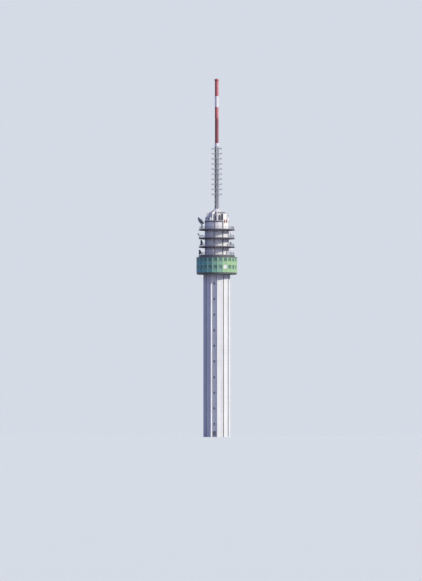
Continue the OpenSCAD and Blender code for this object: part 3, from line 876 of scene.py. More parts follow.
# %% Fit the shaft windows
SHAFT_ROWS = 10
LANDING_T = 0.020
SILL_ABOVE_LANDING = 0.080
SHAFT_WINDOW_W = 0.064
SHAFT_WINDOW_H = 0.086
SHAFT_SILL_THROW = 0.010
FRAME_DEPTH = 0.008
FRAME_BAR = 0.0055
FRAME_LAP = 0.0006
MULLION_HALF = 0.002
PANE_LAP = 0.003

landing_low, landing_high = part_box("shaft_landings")
row_pitch = (landing_high.z - landing_low.z - LANDING_T) / (SHAFT_ROWS - 1)
window_wall = -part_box("recess_wall_front")[0].y
top_sill = landing_high.z + SILL_ABOVE_LANDING


def fill_window_frame(mesh, width, sill, head, face):
    """A frame with one mullion, whose face lies at a distance from the axis."""
    half = width / 2 + FRAME_LAP
    add_frame(mesh, (-half, sill - FRAME_LAP), (half, head + FRAME_LAP), FRAME_BAR, face, face - FRAME_DEPTH)
    add_block(mesh, (-MULLION_HALF, MULLION_HALF), (face - 0.007, face - 0.001), (sill + 0.004, head - 0.004))


def fill_pane(mesh, width, sill, head, face):
    """A pane of glass in the middle of its frame, with its edges inside the bars."""
    half = width / 2 - PANE_LAP
    add_block(mesh, (-half, half), (face - 0.005, face - 0.003), (sill + PANE_LAP, head - PANE_LAP))


def fill_sill(mesh, width, sill, head, wall, throw):
    """A sloping sill below an opening and a drip strip over it, on a wall at a distance from the axis."""
    whole = width + 0.010
    lip, drip = wall + throw, wall + throw / 2
    add_across(mesh, whole, [(wall - 0.008, sill + 0.001), (lip, sill - 0.004),
                             (lip, sill - 0.009), (wall - 0.008, sill - 0.007)])
    add_across(mesh, whole, [(wall - 0.001, head + 0.003), (drip, head + 0.003),
                             (drip, head + 0.006), (wall - 0.001, head + 0.009)])


shaft_window = (SHAFT_WINDOW_W, top_sill, top_sill + SHAFT_WINDOW_H)
frame_face = window_wall - FRAME_DEPTH
rows = {"count": 4, "levels": SHAFT_ROWS, "rise": -row_pitch}
fit_ring("shaft_window_frames", build(fill_window_frame, *shaft_window, frame_face), white_steel, **rows)
fit_ring("shaft_window_glass", build(fill_pane, *shaft_window, frame_face), window_glass, **rows)
fit_ring("shaft_window_sills", build(fill_sill, *shaft_window, window_wall, SHAFT_SILL_THROW),
         galvanised_steel, **rows)
print("Window rows are", round(row_pitch, 4), "m apart")

# %% [markdown]
# ## Entrance
# The door at the foot is a pair of steel leaves in the front window wall. They get a frame, kick
# plates, pull handles, hinges, a closing strip where they meet, and a lamp above. The sill is 300 mm
# above ground on the real tower, so two concrete steps lead up inside the recess.

# %% Fit the entrance
ENTRANCE_BAR = 0.0078
ENTRANCE_LAP = 0.007
CLOSING_STRIP_HALF = 0.0025
KICK_PLATE = (0.004, 0.024)
HINGES = (0.06, 0.14, 0.21)
HINGE_H, HINGE_R = 0.012, 0.0018
HANDLE_X = 0.011
LAMP_W, LAMP_H, LAMP_GLASS_H = 0.024, 0.016, 0.011
LAMP_ABOVE_DOOR = 0.03
# How far each step comes out from the wall, and its height
STEPS = ((0.036, 0.010), (0.020, 0.020))
STEP_HALF_W = 0.085

door_low, door_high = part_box("entrance_door")
door_front = -door_low.y
door_half = door_high.x


def fill_entrance_frame(mesh):
    half = door_half + ENTRANCE_LAP
    add_frame(mesh, (-half, door_low.z - 0.001), (half, door_high.z + ENTRANCE_LAP),
              ENTRANCE_BAR, window_wall + 0.003, door_front + 0.001)
    add_block(mesh, (-CLOSING_STRIP_HALF, CLOSING_STRIP_HALF), (door_front - 0.001, door_front + 0.0015),
              (door_low.z, door_high.z))
    for side in (-1, 1):
        add_block(mesh, sorted((side * 0.006, side * (door_half - 0.004))),
                  (door_front - 0.001, door_front + 0.0008), [door_low.z + up for up in KICK_PLATE])
        for z in HINGES:
            add_upright(mesh, side * (door_half - 0.001), door_front + 0.001, z, z + HINGE_H, HINGE_R)
        add_handle(mesh, side * HANDLE_X, door_front, 0.115, 0.15, 0.006, 0.0014, 0.005, 0.0011)


def fill_lamp(mesh, face, z):
    """A bulkhead lamp: a back plate, a rounded glass and two guard bars, on a wall at a distance."""
    low, high = z - LAMP_H / 2, z + LAMP_H / 2
    add_block(mesh, (-LAMP_W / 2, LAMP_W / 2), (face - 0.001, face + 0.002), (low, high), 0.0005)
    bow = [(LAMP_W * 0.42 * math.cos(t), face + 0.002 + 0.007 * math.sin(t))
           for t in (math.pi * i / 8 for i in range(9))]
    add_upwards(mesh, bow, z - LAMP_GLASS_H / 2, z + LAMP_GLASS_H / 2)
    for x in (-0.004, 0.004):
        add_upright(mesh, x, face + 0.0095, low, high, 0.0006, 6)


def fill_steps(mesh):
    for depth, rise in STEPS:
        outwards = (window_wall + CLEAR, window_wall + depth)
        add_block(mesh, (-STEP_HALF_W, STEP_HALF_W), outwards, (0.0, rise), 0.001)


fit("entrance_frame", build(fill_entrance_frame), white_steel)
fit("entrance_lamp", build(fill_lamp, window_wall, door_high.z + LAMP_ABOVE_DOOR), lamp_glass)
fit("entrance_steps", build(fill_steps), floor_concrete)

# %% [markdown]
# ## Cable duct on the slab
# A grey steel duct runs the whole height of the shaft beside the right-hand recess. It is a shallow
# folded channel on the slab's face, held by a strap every 300 mm. The slab's face is found from the
# same corners as in the CAD model, turned to the front, so the duct can be made as a straight box and
# turned back into place.

# %% Fit the cable duct
RECESS_HALF = 0.132
SLIT_HALF = 0.021
SLAB_END_R = 0.518
DUCT_W = 0.040
DUCT_T = 0.009
DUCT_EDGE = 0.010
STRAP_PITCH = 0.3
STRAP_FOOT = 0.15
STRAP_H = 0.007
STRAP_LAP = 0.0025

slab_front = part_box("shaft_slabs")[1].y
shaft_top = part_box("shaft_slabs")[1].z
slit_angle = 45 - math.degrees(math.asin(SLIT_HALF / SLAB_END_R))
slab_edge = Vector((RECESS_HALF, -slab_front, 0))
slab_run = polar(SLAB_END_R, slit_angle) - slab_edge
slab_turn = math.degrees(math.atan2(slab_run.y, slab_run.x))
duct_turn = 90 - slab_turn
right_edge = turn(-duct_turn) @ Vector((slab_front, -RECESS_HALF, 0))
duct_sides = (right_edge.x - DUCT_EDGE - DUCT_W, right_edge.x - DUCT_EDGE)
slab_face = -right_edge.y


def fill_duct(mesh):
    add_block(mesh, duct_sides, (slab_face - 0.0005, slab_face + DUCT_T), (0.02, shaft_top - 0.04), 0.0018)


def fill_strap(mesh):
    left, right = duct_sides
    add_block(mesh, (left - STRAP_LAP, right + STRAP_LAP), (slab_face - 0.0005, slab_face + DUCT_T + 0.0015),
              (STRAP_FOOT, STRAP_FOOT + STRAP_H), 0.0015)
    for ear in ((left - 0.008, left), (right, right + 0.008)):
        add_block(mesh, ear, (slab_face - 0.0005, slab_face + 0.0015),
                  (STRAP_FOOT - 0.001, STRAP_FOOT + STRAP_H + 0.001))


straps = ring_of(build(fill_strap), galvanised_steel, 1, 0, int(shaft_top / STRAP_PITCH), STRAP_PITCH)
duct = join_meshes([build(fill_duct), straps])
duct.transform(turn(duct_turn))
fit("cable_duct", duct, galvanised_steel)
print("The duct's slab faces", round(duct_turn, 1), "degrees")

# %% [markdown]
# ## Rainwater pipes
# The roofs drain through four pipes that run down in the slits between the slabs. Each is held by
# brackets to the corner wall behind it and has a sleeve joint below every second bracket. Seen from
# outside they keep the slits dark.

# %% Fit the rainwater pipes
PIPE_AT = 0.499
PIPE_R = 0.0145
PIPE_SIDES = 14
PIPE_FOOT = 0.03
BRACKET_PITCH = 0.3
BRACKET_Z, BRACKET_H = 0.15, 0.006
SLEEVE_Z, SLEEVE_H = 0.10, 0.018
corner_r = reach("corner_walls", 45, 3.0)


def fill_rain_pipe(mesh):
    add_disc(mesh, PIPE_R, PIPE_FOOT, shaft_top - 0.012, PIPE_SIDES, at_front(PIPE_AT))


def fill_pipe_bracket(mesh):
    add_band(mesh, PIPE_R - 0.001, PIPE_R + 0.002, 0, BRACKET_H, PIPE_SIDES, at_front(PIPE_AT, BRACKET_Z))
    add_block(mesh, (-0.003, 0.003), (corner_r - 0.001, PIPE_AT - PIPE_R + 0.001),
              (BRACKET_Z, BRACKET_Z + BRACKET_H))


def fill_pipe_sleeve(mesh):
    inner, outer = PIPE_R - 0.001, PIPE_R + 0.003
    add_turned(mesh, [(inner, 0), (outer, 0.002), (outer, SLEEVE_H - 0.002), (inner, SLEEVE_H)],
               PIPE_SIDES, at_front(PIPE_AT, SLEEVE_Z))


brackets = int((shaft_top - 0.2) / BRACKET_PITCH)
rain_parts = [ring_of(build(fill_rain_pipe), grey_door, 4, 45),
              ring_of(build(fill_pipe_bracket), grey_door, 4, 45, brackets, BRACKET_PITCH),
              ring_of(build(fill_pipe_sleeve), grey_door, 4, 45, brackets // 2, 2 * BRACKET_PITCH)]
fit("rainwater_pipes", join_meshes(rain_parts), grey_door)
print(brackets, "brackets on each pipe")

# %% [markdown]
# ## Windows of the round house
# Twenty-four bays stand between the posts, with two rows of windows. Each bay's panel is flat, so the
# same frame fits all of them: the ring tree only has to start half a bay off the front. One lower
# window is filled with white louvres for a fan room, and a column of copies stacks its slats up.

# %% Fit the house windows
BAY_STEP = 360 / BAYS
RING_WINDOW_W = 0.150
LOWER_WINDOW = (7.008, 7.176)
UPPER_WINDOW = (7.322, 7.457)
PANEL_PROUD = 0.014
HOUSE_FRAME_BACK = 0.005
HOUSE_SILL_THROW = 0.009
TRANSOM_UP, TRANSOM_HALF = 0.055, 0.002
LOUVRE_BAY = 2
SLAT_W, SLAT_MIDDLE, SLAT_PITCH = 0.068, 0.0365, 0.012

panel_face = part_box("ring_posts")[1].x - PANEL_PROUD
house_frame_face = panel_face - HOUSE_FRAME_BACK
bays = {"count": BAYS, "start": BAY_STEP / 2}


def in_both_rows(fill, *sizes):
    """A part of a window, made for the lower and for the upper row of one bay."""
    return join_meshes([build(fill, RING_WINDOW_W, *row, *sizes) for row in (LOWER_WINDOW, UPPER_WINDOW)])


def fill_transom(mesh):
    half = RING_WINDOW_W / 2 - 0.004
    transom = LOWER_WINDOW[0] + TRANSOM_UP
    add_block(mesh, (-half, half), (panel_face - 0.012, panel_face - 0.0062),
              (transom - TRANSOM_HALF, transom + TRANSOM_HALF))


def fill_house_slats(mesh):
    """The lowest pair of slats, which lean back as they rise, one on each side of the mullion."""
    z = LOWER_WINDOW[0] + 0.0045
    for middle in (-SLAT_MIDDLE, SLAT_MIDDLE):
        add_across(mesh, SLAT_W, [(panel_face - 0.002, z), (panel_face - 0.0075, z + 0.0125),
                                  (panel_face - 0.0075, z + 0.0105), (panel_face - 0.003, z - 0.001)], middle)


frames = join_meshes([in_both_rows(fill_window_frame, house_frame_face), build(fill_transom)])
fit_ring("house_window_frames", frames, green_post, **bays)
fit_ring("house_window_glass", in_both_rows(fill_pane, house_frame_face), house_glass, **bays)
fit_ring("house_window_sills", in_both_rows(fill_sill, panel_face, HOUSE_SILL_THROW), green_post, **bays)
rows_of_slats = int((LOWER_WINDOW[1] - LOWER_WINDOW[0] - 0.009) / SLAT_PITCH)
fit_ring("house_white_louvre", build(fill_house_slats), white_steel,
         1, (LOUVRE_BAY + 0.5) * BAY_STEP, rows_of_slats, SLAT_PITCH)
print("The white louvre has", rows_of_slats, "rows of slats")

# %% [markdown]
# ## Underside and edges of the round house
# The house overhangs the shaft, and its floor is carried by a beam under each post. The beams taper
# towards the rim, where a ring beam ties their ends together. From far away they read as the dark line
# below the green wall. Above, a folded rim covers the roof's edge and throws water off.

# %% Fit the house's beams and rims
BEAM_START = 0.570
# Depth at both ends, thickness of the web, and width and thickness of the flange
HOUSE_BEAM = (0.036, 0.022, 0.010, 0.026, 0.004)
RING_BEAM_H = 0.030
ROOF_SLAB_T = 0.020
RIM_SIDES = 144
RIM_T = 0.004

ring_floor_low, ring_floor_top = (v.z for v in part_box("ring_floor"))
ring_floor_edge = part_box("ring_floor")[1].x
beam_end = ring_floor_edge - 0.030
beam_top = ring_floor_low - CLEAR
roof_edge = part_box("ring_roof")[1].x
roof_slab_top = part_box("ring_panels")[1].z + ROOF_SLAB_T


def fill_ring_beam(mesh):
    add_band(mesh, beam_end, ring_floor_edge - 0.004, beam_top, beam_top - RING_BEAM_H)
    add_band(mesh, BEAM_START, BEAM_START + 0.02, beam_top, beam_top - 0.012)


def fill_roof_rim(mesh):
    seat, face, lip, top = roof_edge + CLEAR, roof_edge + RIM_T, roof_edge - 0.020, roof_slab_top
    add_turned(mesh, [(seat, top - 0.017), (face, top - 0.019), (face, top + 0.002),
                      (lip, top + 0.003), (lip, top + 0.0004), (seat, top + 0.0004)], RIM_SIDES)


def fill_floor_rim(mesh):
    seat, face, top = ring_floor_edge + CLEAR, ring_floor_edge + RIM_T, ring_floor_top
    add_turned(mesh, [(seat, top - 0.032), (face, top - 0.034), (face, top - 0.004), (seat, top - 0.002)],
               RIM_SIDES)


house_beam = build(add_tapered_beam, BEAM_START, beam_end, beam_top, *HOUSE_BEAM)
house_beams = ring_of(house_beam, green_steel, BAYS)
fit("house_floor_beams", join_meshes([house_beams, build(fill_ring_beam)]), green_steel)
fit("house_floor_rim", build(fill_floor_rim), green_steel, "green_cladding")
fit("house_roof_rim", build(fill_roof_rim), platform_steel)

# %% [markdown]
# ## Platforms
# The three open platforms are steel decks on tapered beams that stick out from the drum, and a fourth
# deck is the thick slab on the house's roof. Each edge is closed by a channel, which is deeper on the
# slab, and a toe board keeps tools from being kicked over. The handrail follows the straight railing
# panels, so it has twelve corners and not a round course. On the lowest deck one panel is missing
# where a dish stands, and the handrail and toe boards stop there too.

# %% Fit the platform steelwork
RAILING_PANELS = 12
RAILING_H = 0.110
RAILING_R = 0.736
RAILING_BAR = 0.006
OPEN_PANEL = 9
HANDRAIL_R = 0.0042
PLATFORM_BEAMS = 24
PLATFORM_BEAM = (0.030, 0.010, 0.006, 0.018, 0.0025)
EDGE_SIDES = 120

drum_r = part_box("crown_deck")[1].x - 0.012
platform_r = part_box("platform_1")[1].x
platform_low = [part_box(f"platform_{n}")[0].z for n in (1, 2, 3)]
floors = [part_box(name)[1].z for name in ("ring_roof", "platform_1", "platform_2", "platform_3")]
panel_step = 360 / RAILING_PANELS


def fill_platform_edge(mesh):
    """The channels round the edges of the slab and of the three platforms."""
    seat, face, lip = platform_r + CLEAR, platform_r + 0.0053, platform_r - 0.0057
    feet = [roof_slab_top + 0.0004] + [low - 0.008 for low in platform_low]
    for foot, floor in zip(feet, floors):
        add_turned(mesh, [(seat, foot), (face, foot), (face, floor + 0.004), (lip, floor + 0.006),
                          (lip, floor + 0.0004), (seat, floor + 0.0004)], EDGE_SIDES)


def fill_railing_foot(mesh, floor):
    """One panel's toe board and the three plates that bolt its posts to the deck."""
    half = RAILING_R * math.sin(math.pi / RAILING_PANELS) - 0.003
    depth = RAILING_R * math.cos(math.pi / RAILING_PANELS)
    add_block(mesh, (-half, half), (depth + 0.0002, depth + 0.002), (floor + 0.001, floor + 0.014))
    for x in (-half + RAILING_BAR / 2, 0, half - RAILING_BAR / 2):
        add_block(mesh, (x - 0.008, x + 0.008), (depth - 0.011, depth + 0.005),
                  (floor, floor + 0.0025), 0.001)


upper_feet = ring_of(build(fill_railing_foot, floors[1]), galvanised_steel, RAILING_PANELS,
                     panel_step / 2, 3, storey)
lower_feet = ring_of(build(fill_railing_foot, floors[0]), galvanised_steel, RAILING_PANELS - 1,
                     (OPEN_PANEL + 1.5) * panel_step, step=panel_step)
rail_z = RAILING_H + 0.002
rails = [[polar(RAILING_R, i * panel_step, floor + rail_z) for i in range(RAILING_PANELS + 1)]
         for floor in floors[1:]]
rails.append([polar(RAILING_R, (OPEN_PANEL + 1 + i) * panel_step, floors[0] + rail_z)
              for i in range(RAILING_PANELS)])
fit("railing_handrails", pipes(rails, HANDRAIL_R, galvanised_steel), galvanised_steel)
fit("railing_toe_boards", join_meshes([upper_feet, lower_feet]), galvanised_steel)
platform_beam = build(add_tapered_beam, drum_r - 0.002, platform_r - 0.010, platform_low[0] - CLEAR,
                      *PLATFORM_BEAM)
fit_ring("platform_beams", platform_beam, platform_steel, PLATFORM_BEAMS, 0, 3, storey)
fit("platform_edges", build(fill_platform_edge), platform_steel)

# %% [markdown]
# ## Drum doors
# Every storey of the drum has a doorway on each of its four sides. The CAD leaf fills the doorway to
# its full height, as a real one does with a fixed panel over the door. The frame, the transom between
# door and panel, the louvres above it, the handle and a lamp are set on it here.

# %% Fit the drum doors
DOOR_H = 0.215
LEAF_HALF = 0.045
DOOR_BAR = 0.005
DOOR_SLATS = 7
DOOR_SLAT_PITCH = 0.0095
LATCH_X, HINGE_X = 0.030, -0.0395
LAMP_UP, LAMP_ASIDE = 0.262, 11

leaf_front = -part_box("drum_doors")[0].y
storey_h = storey - 0.030


def fill_drum_door(mesh):
    z = floors[0]
    transom = z + DOOR_H
    add_frame(mesh, (-LEAF_HALF, z + 0.0005), (LEAF_HALF, z + storey_h - 0.0005), DOOR_BAR,
              leaf_front + 0.007, leaf_front - 0.001)
    add_block(mesh, (-LEAF_HALF + 0.004, LEAF_HALF - 0.004), (leaf_front - 0.001, leaf_front + 0.006),
              (transom, transom + 0.006))
    for i in range(DOOR_SLATS):
        add_slat(mesh, 0.068, leaf_front - 0.001, leaf_front + 0.004, transom + 0.012 + i * DOOR_SLAT_PITCH)
    add_handle(mesh, LATCH_X, leaf_front, z + 0.095, z + 0.12, 0.0055, 0.0012, 0.003, 0.001)
    for up in (0.03, 0.11, 0.19):
        add_upright(mesh, HINGE_X, leaf_front + 0.001, z + up, z + up + 0.01, 0.0014)


fit_ring("drum_door_frames", build(fill_drum_door), white_steel, 4, 0, 4, storey)
fit_ring("drum_lamps", build(fill_lamp, drum_r - 0.001, floors[0] + LAMP_UP), lamp_glass,
         4, LAMP_ASIDE, 4, storey)

# %% [markdown]
# ## Drum joints
# The drum is cast in segments that meet on the diagonals, with a gap for movement. A strip of sealant
# closes each gap a little behind the wall's face, so that the joint still shows as a dark line.

# %% Fit the joint seals
JOINT_HALF = 0.009
DRUM_T = 0.025


def fill_seal(mesh):
    """A strip with a hollow face, as a finger leaves it in the joint."""
    edge, hollow, back = drum_r - 0.005, drum_r - 0.009, drum_r - DRUM_T + 0.004
    plan = [(-JOINT_HALF, edge), (0, hollow), (JOINT_HALF, edge), (JOINT_HALF, back), (-JOINT_HALF, back)]
    add_upwards(mesh, plan, floors[0], floors[0] + storey_h)


fit_ring("drum_joint_seals", build(fill_seal), grey_door, 4, 45, 4, storey)

# %% [markdown]
# ## Cables on the drum
# Feeder cables leave the platform dishes, run along the drum in a tray and go inside through glands.
# The tray is an open channel with rungs, on two opposite sides of the drum, from the lowest deck to the
# crown. The cables in it are pipes along straight runs of points.

# %% Fit the drum's cable tray
TRAY_ANGLES = (41.5, 221.5)
TRAY_W = 0.040
TRAY_CABLES = 5
TRAY_CABLE_R = 0.003
RUNG_PITCH, RUNG_H = 0.030, 0.004
BEAM_CLEAR = 0.034


def fill_tray(mesh, low, high):
    r = drum_r + 0.001
    for x in (-TRAY_W / 2, TRAY_W / 2):
        add_block(mesh, (x - 0.001, x + 0.001), (r - 0.003, r + 0.012), (low, high))
    for i in range(int((high - low) / RUNG_PITCH)):
        z = low + 0.01 + i * RUNG_PITCH
        add_block(mesh, (-TRAY_W / 2, TRAY_W / 2), (r, r + 0.003), (z, z + RUNG_H))


def tray_ends(level):
    """The lower and upper end of the tray on one storey of the drum."""
    top = platform_low[level] - BEAM_CLEAR if level < 3 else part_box("crown_deck")[0].z
    return floors[level] + 0.0005, top - 0.0005


tray_parts, cable_paths = [], []
for angle in TRAY_ANGLES:
    for level in range(4):
        tray_parts.append(placed(angle, fill_tray, *tray_ends(level)))
        for i in range(TRAY_CABLES):
            x = TRAY_W * ((i + 1) / (TRAY_CABLES + 1) - 0.5)
            cable_paths.append([turn(angle) @ Vector((x, -drum_r - 0.0075, z)) for z in tray_ends(level)])
fit("drum_cable_trays", join_meshes(tray_parts), galvanised_steel)
fit("drum_cables", pipes(cable_paths, TRAY_CABLE_R, grey_cable, 6), grey_cable)

# %% [markdown]
# ## Roofs and edge of the crown
# Above the drum, upright fins carry the mast's thrust to the drum wall, and plant rooms fill the gaps
# between them. The rooms get thin roof plates that overhang a little, and the deck's edge has a dark
# metal strip. Both follow the round wall, so their outlines are arcs.

# %% Fit the crown's roofs and edge
PLANT_IN, PLANT_OUT = 0.300, 0.490
PLANT_TALL, PLANT_LOW = 0.290, 0.135
PLANT_ROOF_T = 0.006
# How far the roof plates stand over a room's side walls, in degrees
ROOF_MARGIN = 0.6
FIN_ANGLE = 15.0
FIN_MARGIN = math.degrees(math.asin((0.025 + 0.004) / PLANT_IN))
# The edge strip is left out in front of the tall rooms, whose walls stand flush with the drum
CROWN_EDGES = ((-100.0, 44.0), (101.0, 258.0))
# How far the strip and its thicker lower lip stand out, and their lower and upper edges
EDGE_STRIPS = ((0.0032, -0.055, -0.010), (0.0052, -0.055, -0.049))
# Each room's first and last direction and its height
PLANT_ROOMS = [
    (46, 90 - FIN_ANGLE - FIN_MARGIN, PLANT_TALL),
    (90 - FIN_ANGLE + FIN_MARGIN, 90 + FIN_ANGLE - FIN_MARGIN, PLANT_TALL),
    (-90 + FIN_ANGLE + FIN_MARGIN, -46, PLANT_LOW),
    (-44, -FIN_ANGLE - FIN_MARGIN, PLANT_LOW),
]
crown_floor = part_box("crown_deck")[1].z
crown_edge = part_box("crown_deck")[1].x


def arc_band(inner, outer, start, end, z, steps):
    """The outline of a flat stretch of ring between two radii and two directions."""
    angles = [start + (end - start) * i / steps for i in range(steps + 1)]
    return [polar(outer, a, z) for a in angles] + [polar(inner, a, z) for a in reversed(angles)]


def fill_plant_roofs(mesh):
    for start, end, height in PLANT_ROOMS:
        outline = arc_band(PLANT_IN - 0.004, PLANT_OUT + 0.005, start - ROOF_MARGIN, end + ROOF_MARGIN,
                           crown_floor + height + CLEAR, 8)
        add_drawn(mesh, outline, (0, 0, PLANT_ROOF_T))


def fill_crown_edge(mesh):
    for start, end in CROWN_EDGES:
        for out, low, high in EDGE_STRIPS:
            outline = arc_band(crown_edge + CLEAR, crown_edge + out, start, end, crown_floor + low, 48)
            add_drawn(mesh, outline, (0, 0, high - low))


fit("plant_room_roofs", build(fill_plant_roofs), galvanised_steel)

# %% [markdown]
# ## Vents, louvres and doors of the crown
# Two red-brown vents hang side by side over the deck's edge, the rooms have louvres, and a band of them
# runs round the top of the room in the middle. The band, the louvre at 44 degrees and the one in the
# tall room's end wall stand on walls in shade, and their dark paint is partly painted shade. A louvre is
# flat and its wall is round, so its back lies at the depth of the wall between its own corners, and its
# face stands at the wall's radius or further out. All of them are one function with other sizes.

# %% Fit the crown's vents, louvres and doors
ROOM_R = 0.200
LOUVRE_STEP = 0.009
LOUVRE_BAR = 0.004
VENT_ANGLES = (52.8, 66.3)
# Direction, half of the width, lower and upper edge and the radius of the wall
ROOM_LOUVRES = [
    (90.0, 0.045, 0.165, 0.250, PLANT_OUT),
    # The louvre at 44 degrees darkens a wall in shade: its dark paint is partly painted shade
    (44.0, 0.028, 0.03, 0.27, ROOM_R),
    (-58.0, 0.04, 0.04, 0.10, PLANT_OUT),
    (-32.0, 0.04, 0.04, 0.10, PLANT_OUT),
]
# The band darkens the top of the room where shade falls: partly painted shade
# The band repeats on each quarter: directions between the fins, and half of the width there
BAND_LOUVRES = ((0, 0.021), (30, 0.024), (45, 0.024), (60, 0.024))
BAND_HEIGHTS = (0.300, 0.374)
# This louvre darkens the end wall, which is in shade: partly painted shade
# Corners of the louvre in the tall room's end wall: distance from the axis and height
END_LOUVRE = ((0.318, 0.02), (0.475, 0.265))
ROOM_DOOR_HALF, ROOM_DOOR_H = 0.036, 0.205
ROOM_DOOR_BAR = 0.005


def fill_louvre(mesh, low, high, face, back):
    """A louvred opening in a frame between two (x, z) corners, on a wall at a distance from the axis."""
    (x0, z0), (x1, z1) = (low[0], crown_floor + low[1]), (high[0], crown_floor + high[1])
    add_frame(mesh, (x0, z0), (x1, z1), LOUVRE_BAR, face + 0.003, back)
    add_block(mesh, (x0 + 0.003, x1 - 0.003), (back, face + 0.0004), (z0 + 0.003, z1 - 0.003))
    between = x1 - x0 - 2 * LOUVRE_BAR
    for i in range(int((z1 - z0) / LOUVRE_STEP) - 1):
        add_slat(mesh, between, face, face + 0.003, z0 + 0.006 + i * LOUVRE_STEP, (x0 + x1) / 2)


def round_louvre(angle, half_width, low, high, wall, face=None):
    """A louvre on a round wall, in a direction, between two heights above the crown's floor."""
    back = wall * math.cos(math.asin(half_width / wall)) - 0.001
    return placed(angle, fill_louvre, (-half_width, low), (half_width, high), face or wall, back)


def fill_room_door(mesh):
    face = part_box("crown_room")[1].x
    half = ROOM_DOOR_HALF + ROOM_DOOR_BAR
    foot = crown_floor + 0.0005
    add_block(mesh, (-ROOM_DOOR_HALF, ROOM_DOOR_HALF), (face - 0.006, face + 0.002),
              (foot, crown_floor + ROOM_DOOR_H), 0.001)
    add_frame(mesh, (-half, foot), (half, crown_floor + ROOM_DOOR_H + ROOM_DOOR_BAR), ROOM_DOOR_BAR,
              face + 0.004, face - 0.007)
    add_upright(mesh, 0.026, face + 0.006, crown_floor + 0.09, crown_floor + 0.115, 0.0012)


vents = [round_louvre(angle, 0.025, -0.097, 0.036, PLANT_OUT, crown_edge + 0.002) for angle in VENT_ANGLES]
fit("plant_room_vents", join_meshes(vents), vent_brown)
louvres = [round_louvre(*row) for row in ROOM_LOUVRES]
for quarter in range(0, 360, 90):
    louvres += [round_louvre(quarter + aside, half, *BAND_HEIGHTS, ROOM_R) for aside, half in BAND_LOUVRES]
# The tall room's end wall lies in a plane through the axis, so its louvre is made on that plane
louvres.append(placed(PLANT_ROOMS[0][0] - 90, fill_louvre, *END_LOUVRE, 0.0, -0.001))
louvres += [placed(angle, fill_room_door) for angle in (0.0, 180.0)]
fit("crown_doors_and_louvres", join_meshes(louvres), grey_door)
fit("crown_deck_edge", build(fill_crown_edge), platform_steel)

# %% [markdown]
# ## Foot of the mast
# The mast stands on a steel cone that is bolted through a foot plate. Sixteen hexagon bolts hold the
# plate, and stiffening ribs run up the cone between them. Both repeat by rule, so each is made once.

# %% Fit the mast's foot
PLATE_BOLTS, PLATE_BOLTS_R = 16, 0.115
CONE_BOLTS, CONE_BOLTS_R = 24, 0.196
CONE_RIBS = 12
FOOT_PLATE_T = 0.015
CONE_H = 0.060
HEX_R, HEX_H = 0.0045, 0.006
THREAD_R, THREAD_H = 0.00225, 0.003

mast_low, mast_high = (v.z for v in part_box("mast_legs"))
cone_top = mast_low - FOOT_PLATE_T
cone_foot = cone_top - CONE_H


def fill_hex_bolt(mesh, radius, z):
    """A nut with the end of its bolt, at a distance from the axis."""
    add_disc(mesh, HEX_R, z, z + HEX_H, 6, at_front(radius))
    add_disc(mesh, THREAD_R, z + HEX_H - 0.001, z + HEX_H + THREAD_H, 8, at_front(radius))


def fill_cone_rib(mesh):
    add_across(mesh, 0.004, [(0.205, cone_foot + CLEAR), (0.165, cone_foot + CLEAR),
                             (0.110, cone_top - CLEAR), (0.123, cone_top - CLEAR)])


plate_bolts = ring_of(build(fill_hex_bolt, PLATE_BOLTS_R, mast_low + 0.0002), galvanised_steel,
                      PLATE_BOLTS, 180 / PLATE_BOLTS)
cone_bolts = ring_of(build(fill_hex_bolt, CONE_BOLTS_R, cone_foot), galvanised_steel,
                     CONE_BOLTS, 180 / CONE_BOLTS)
fit("mast_foot_bolts", join_meshes([plate_bolts, cone_bolts]), galvanised_steel)
fit_ring("mast_foot_ribs", build(fill_cone_rib), white_steel, CONE_RIBS)

# %% [markdown]
# ## Lattice mast
# The CAD model has the mast's legs, cross bars and diagonals. A real lattice also has gusset plates
# where the bars meet the legs, plan bracing across the square at each level, and bolted splices in the
# legs. Tiers repeat at a fixed pitch, so each kind of fitting is one part on the ring tree.

# %% Fit the mast's gussets, splices and plan bracing
MAST_HALF = 0.0825
LEG_W = 0.016
TIERS = 12
FIRST_TIER = 0.180
TIER_PITCH = 0.213
GUSSET_T, GUSSET_HALF_H, GUSSET_REACH = 0.002, 0.024, 0.038
# Places of a gusset's bolts: in from the leg's edge and up from the bar
GUSSET_BOLTS = ((0.008, -0.016), (0.008, 0.016), (0.028, 0.0))
SPLICE_LAP = 0.003
SPLICES = 4
BRACE_R = 0.0028
tier_z = mast_low + FIRST_TIER


def fill_gussets(mesh):
    face = MAST_HALF + 0.0002
    corners = ((0.001, -GUSSET_HALF_H), (LEG_W, -GUSSET_HALF_H), (GUSSET_REACH, -0.006),
               (GUSSET_REACH, 0.006), (LEG_W, GUSSET_HALF_H), (0.001, GUSSET_HALF_H))
    for side in (-1, 1):
        outline = [(side * (MAST_HALF - within), -face, tier_z + up) for within, up in corners]
        add_drawn(mesh, outline, (0, -GUSSET_T, 0))
        for within, up in GUSSET_BOLTS:
            add_pin(mesh, side * (MAST_HALF - within), tier_z + up, face + 0.0015, face + 0.004, 0.0024)


def fill_splice(mesh):
    """The collar and four bolts that join two lengths of a leg."""
    z = tier_z + TIER_PITCH / 2
    low, high = MAST_HALF - LEG_W - SPLICE_LAP, MAST_HALF + SPLICE_LAP
    add_block(mesh, (-high, -low), (low, high), (z - 0.004, z + 0.004), 0.001)
    for x in (-high, -low):
        for out in (high, low):
            add_upright(mesh, x, out, z - 0.007, z + 0.007, 0.002, 6)


def fill_plan_brace(mesh):
    corner = MAST_HALF - LEG_W / 2
    for side in (-1, 1):
        z = tier_z + side * 0.002
        add_rod(mesh, (-corner, -side * corner, z), (corner, side * corner, z), BRACE_R, 6)


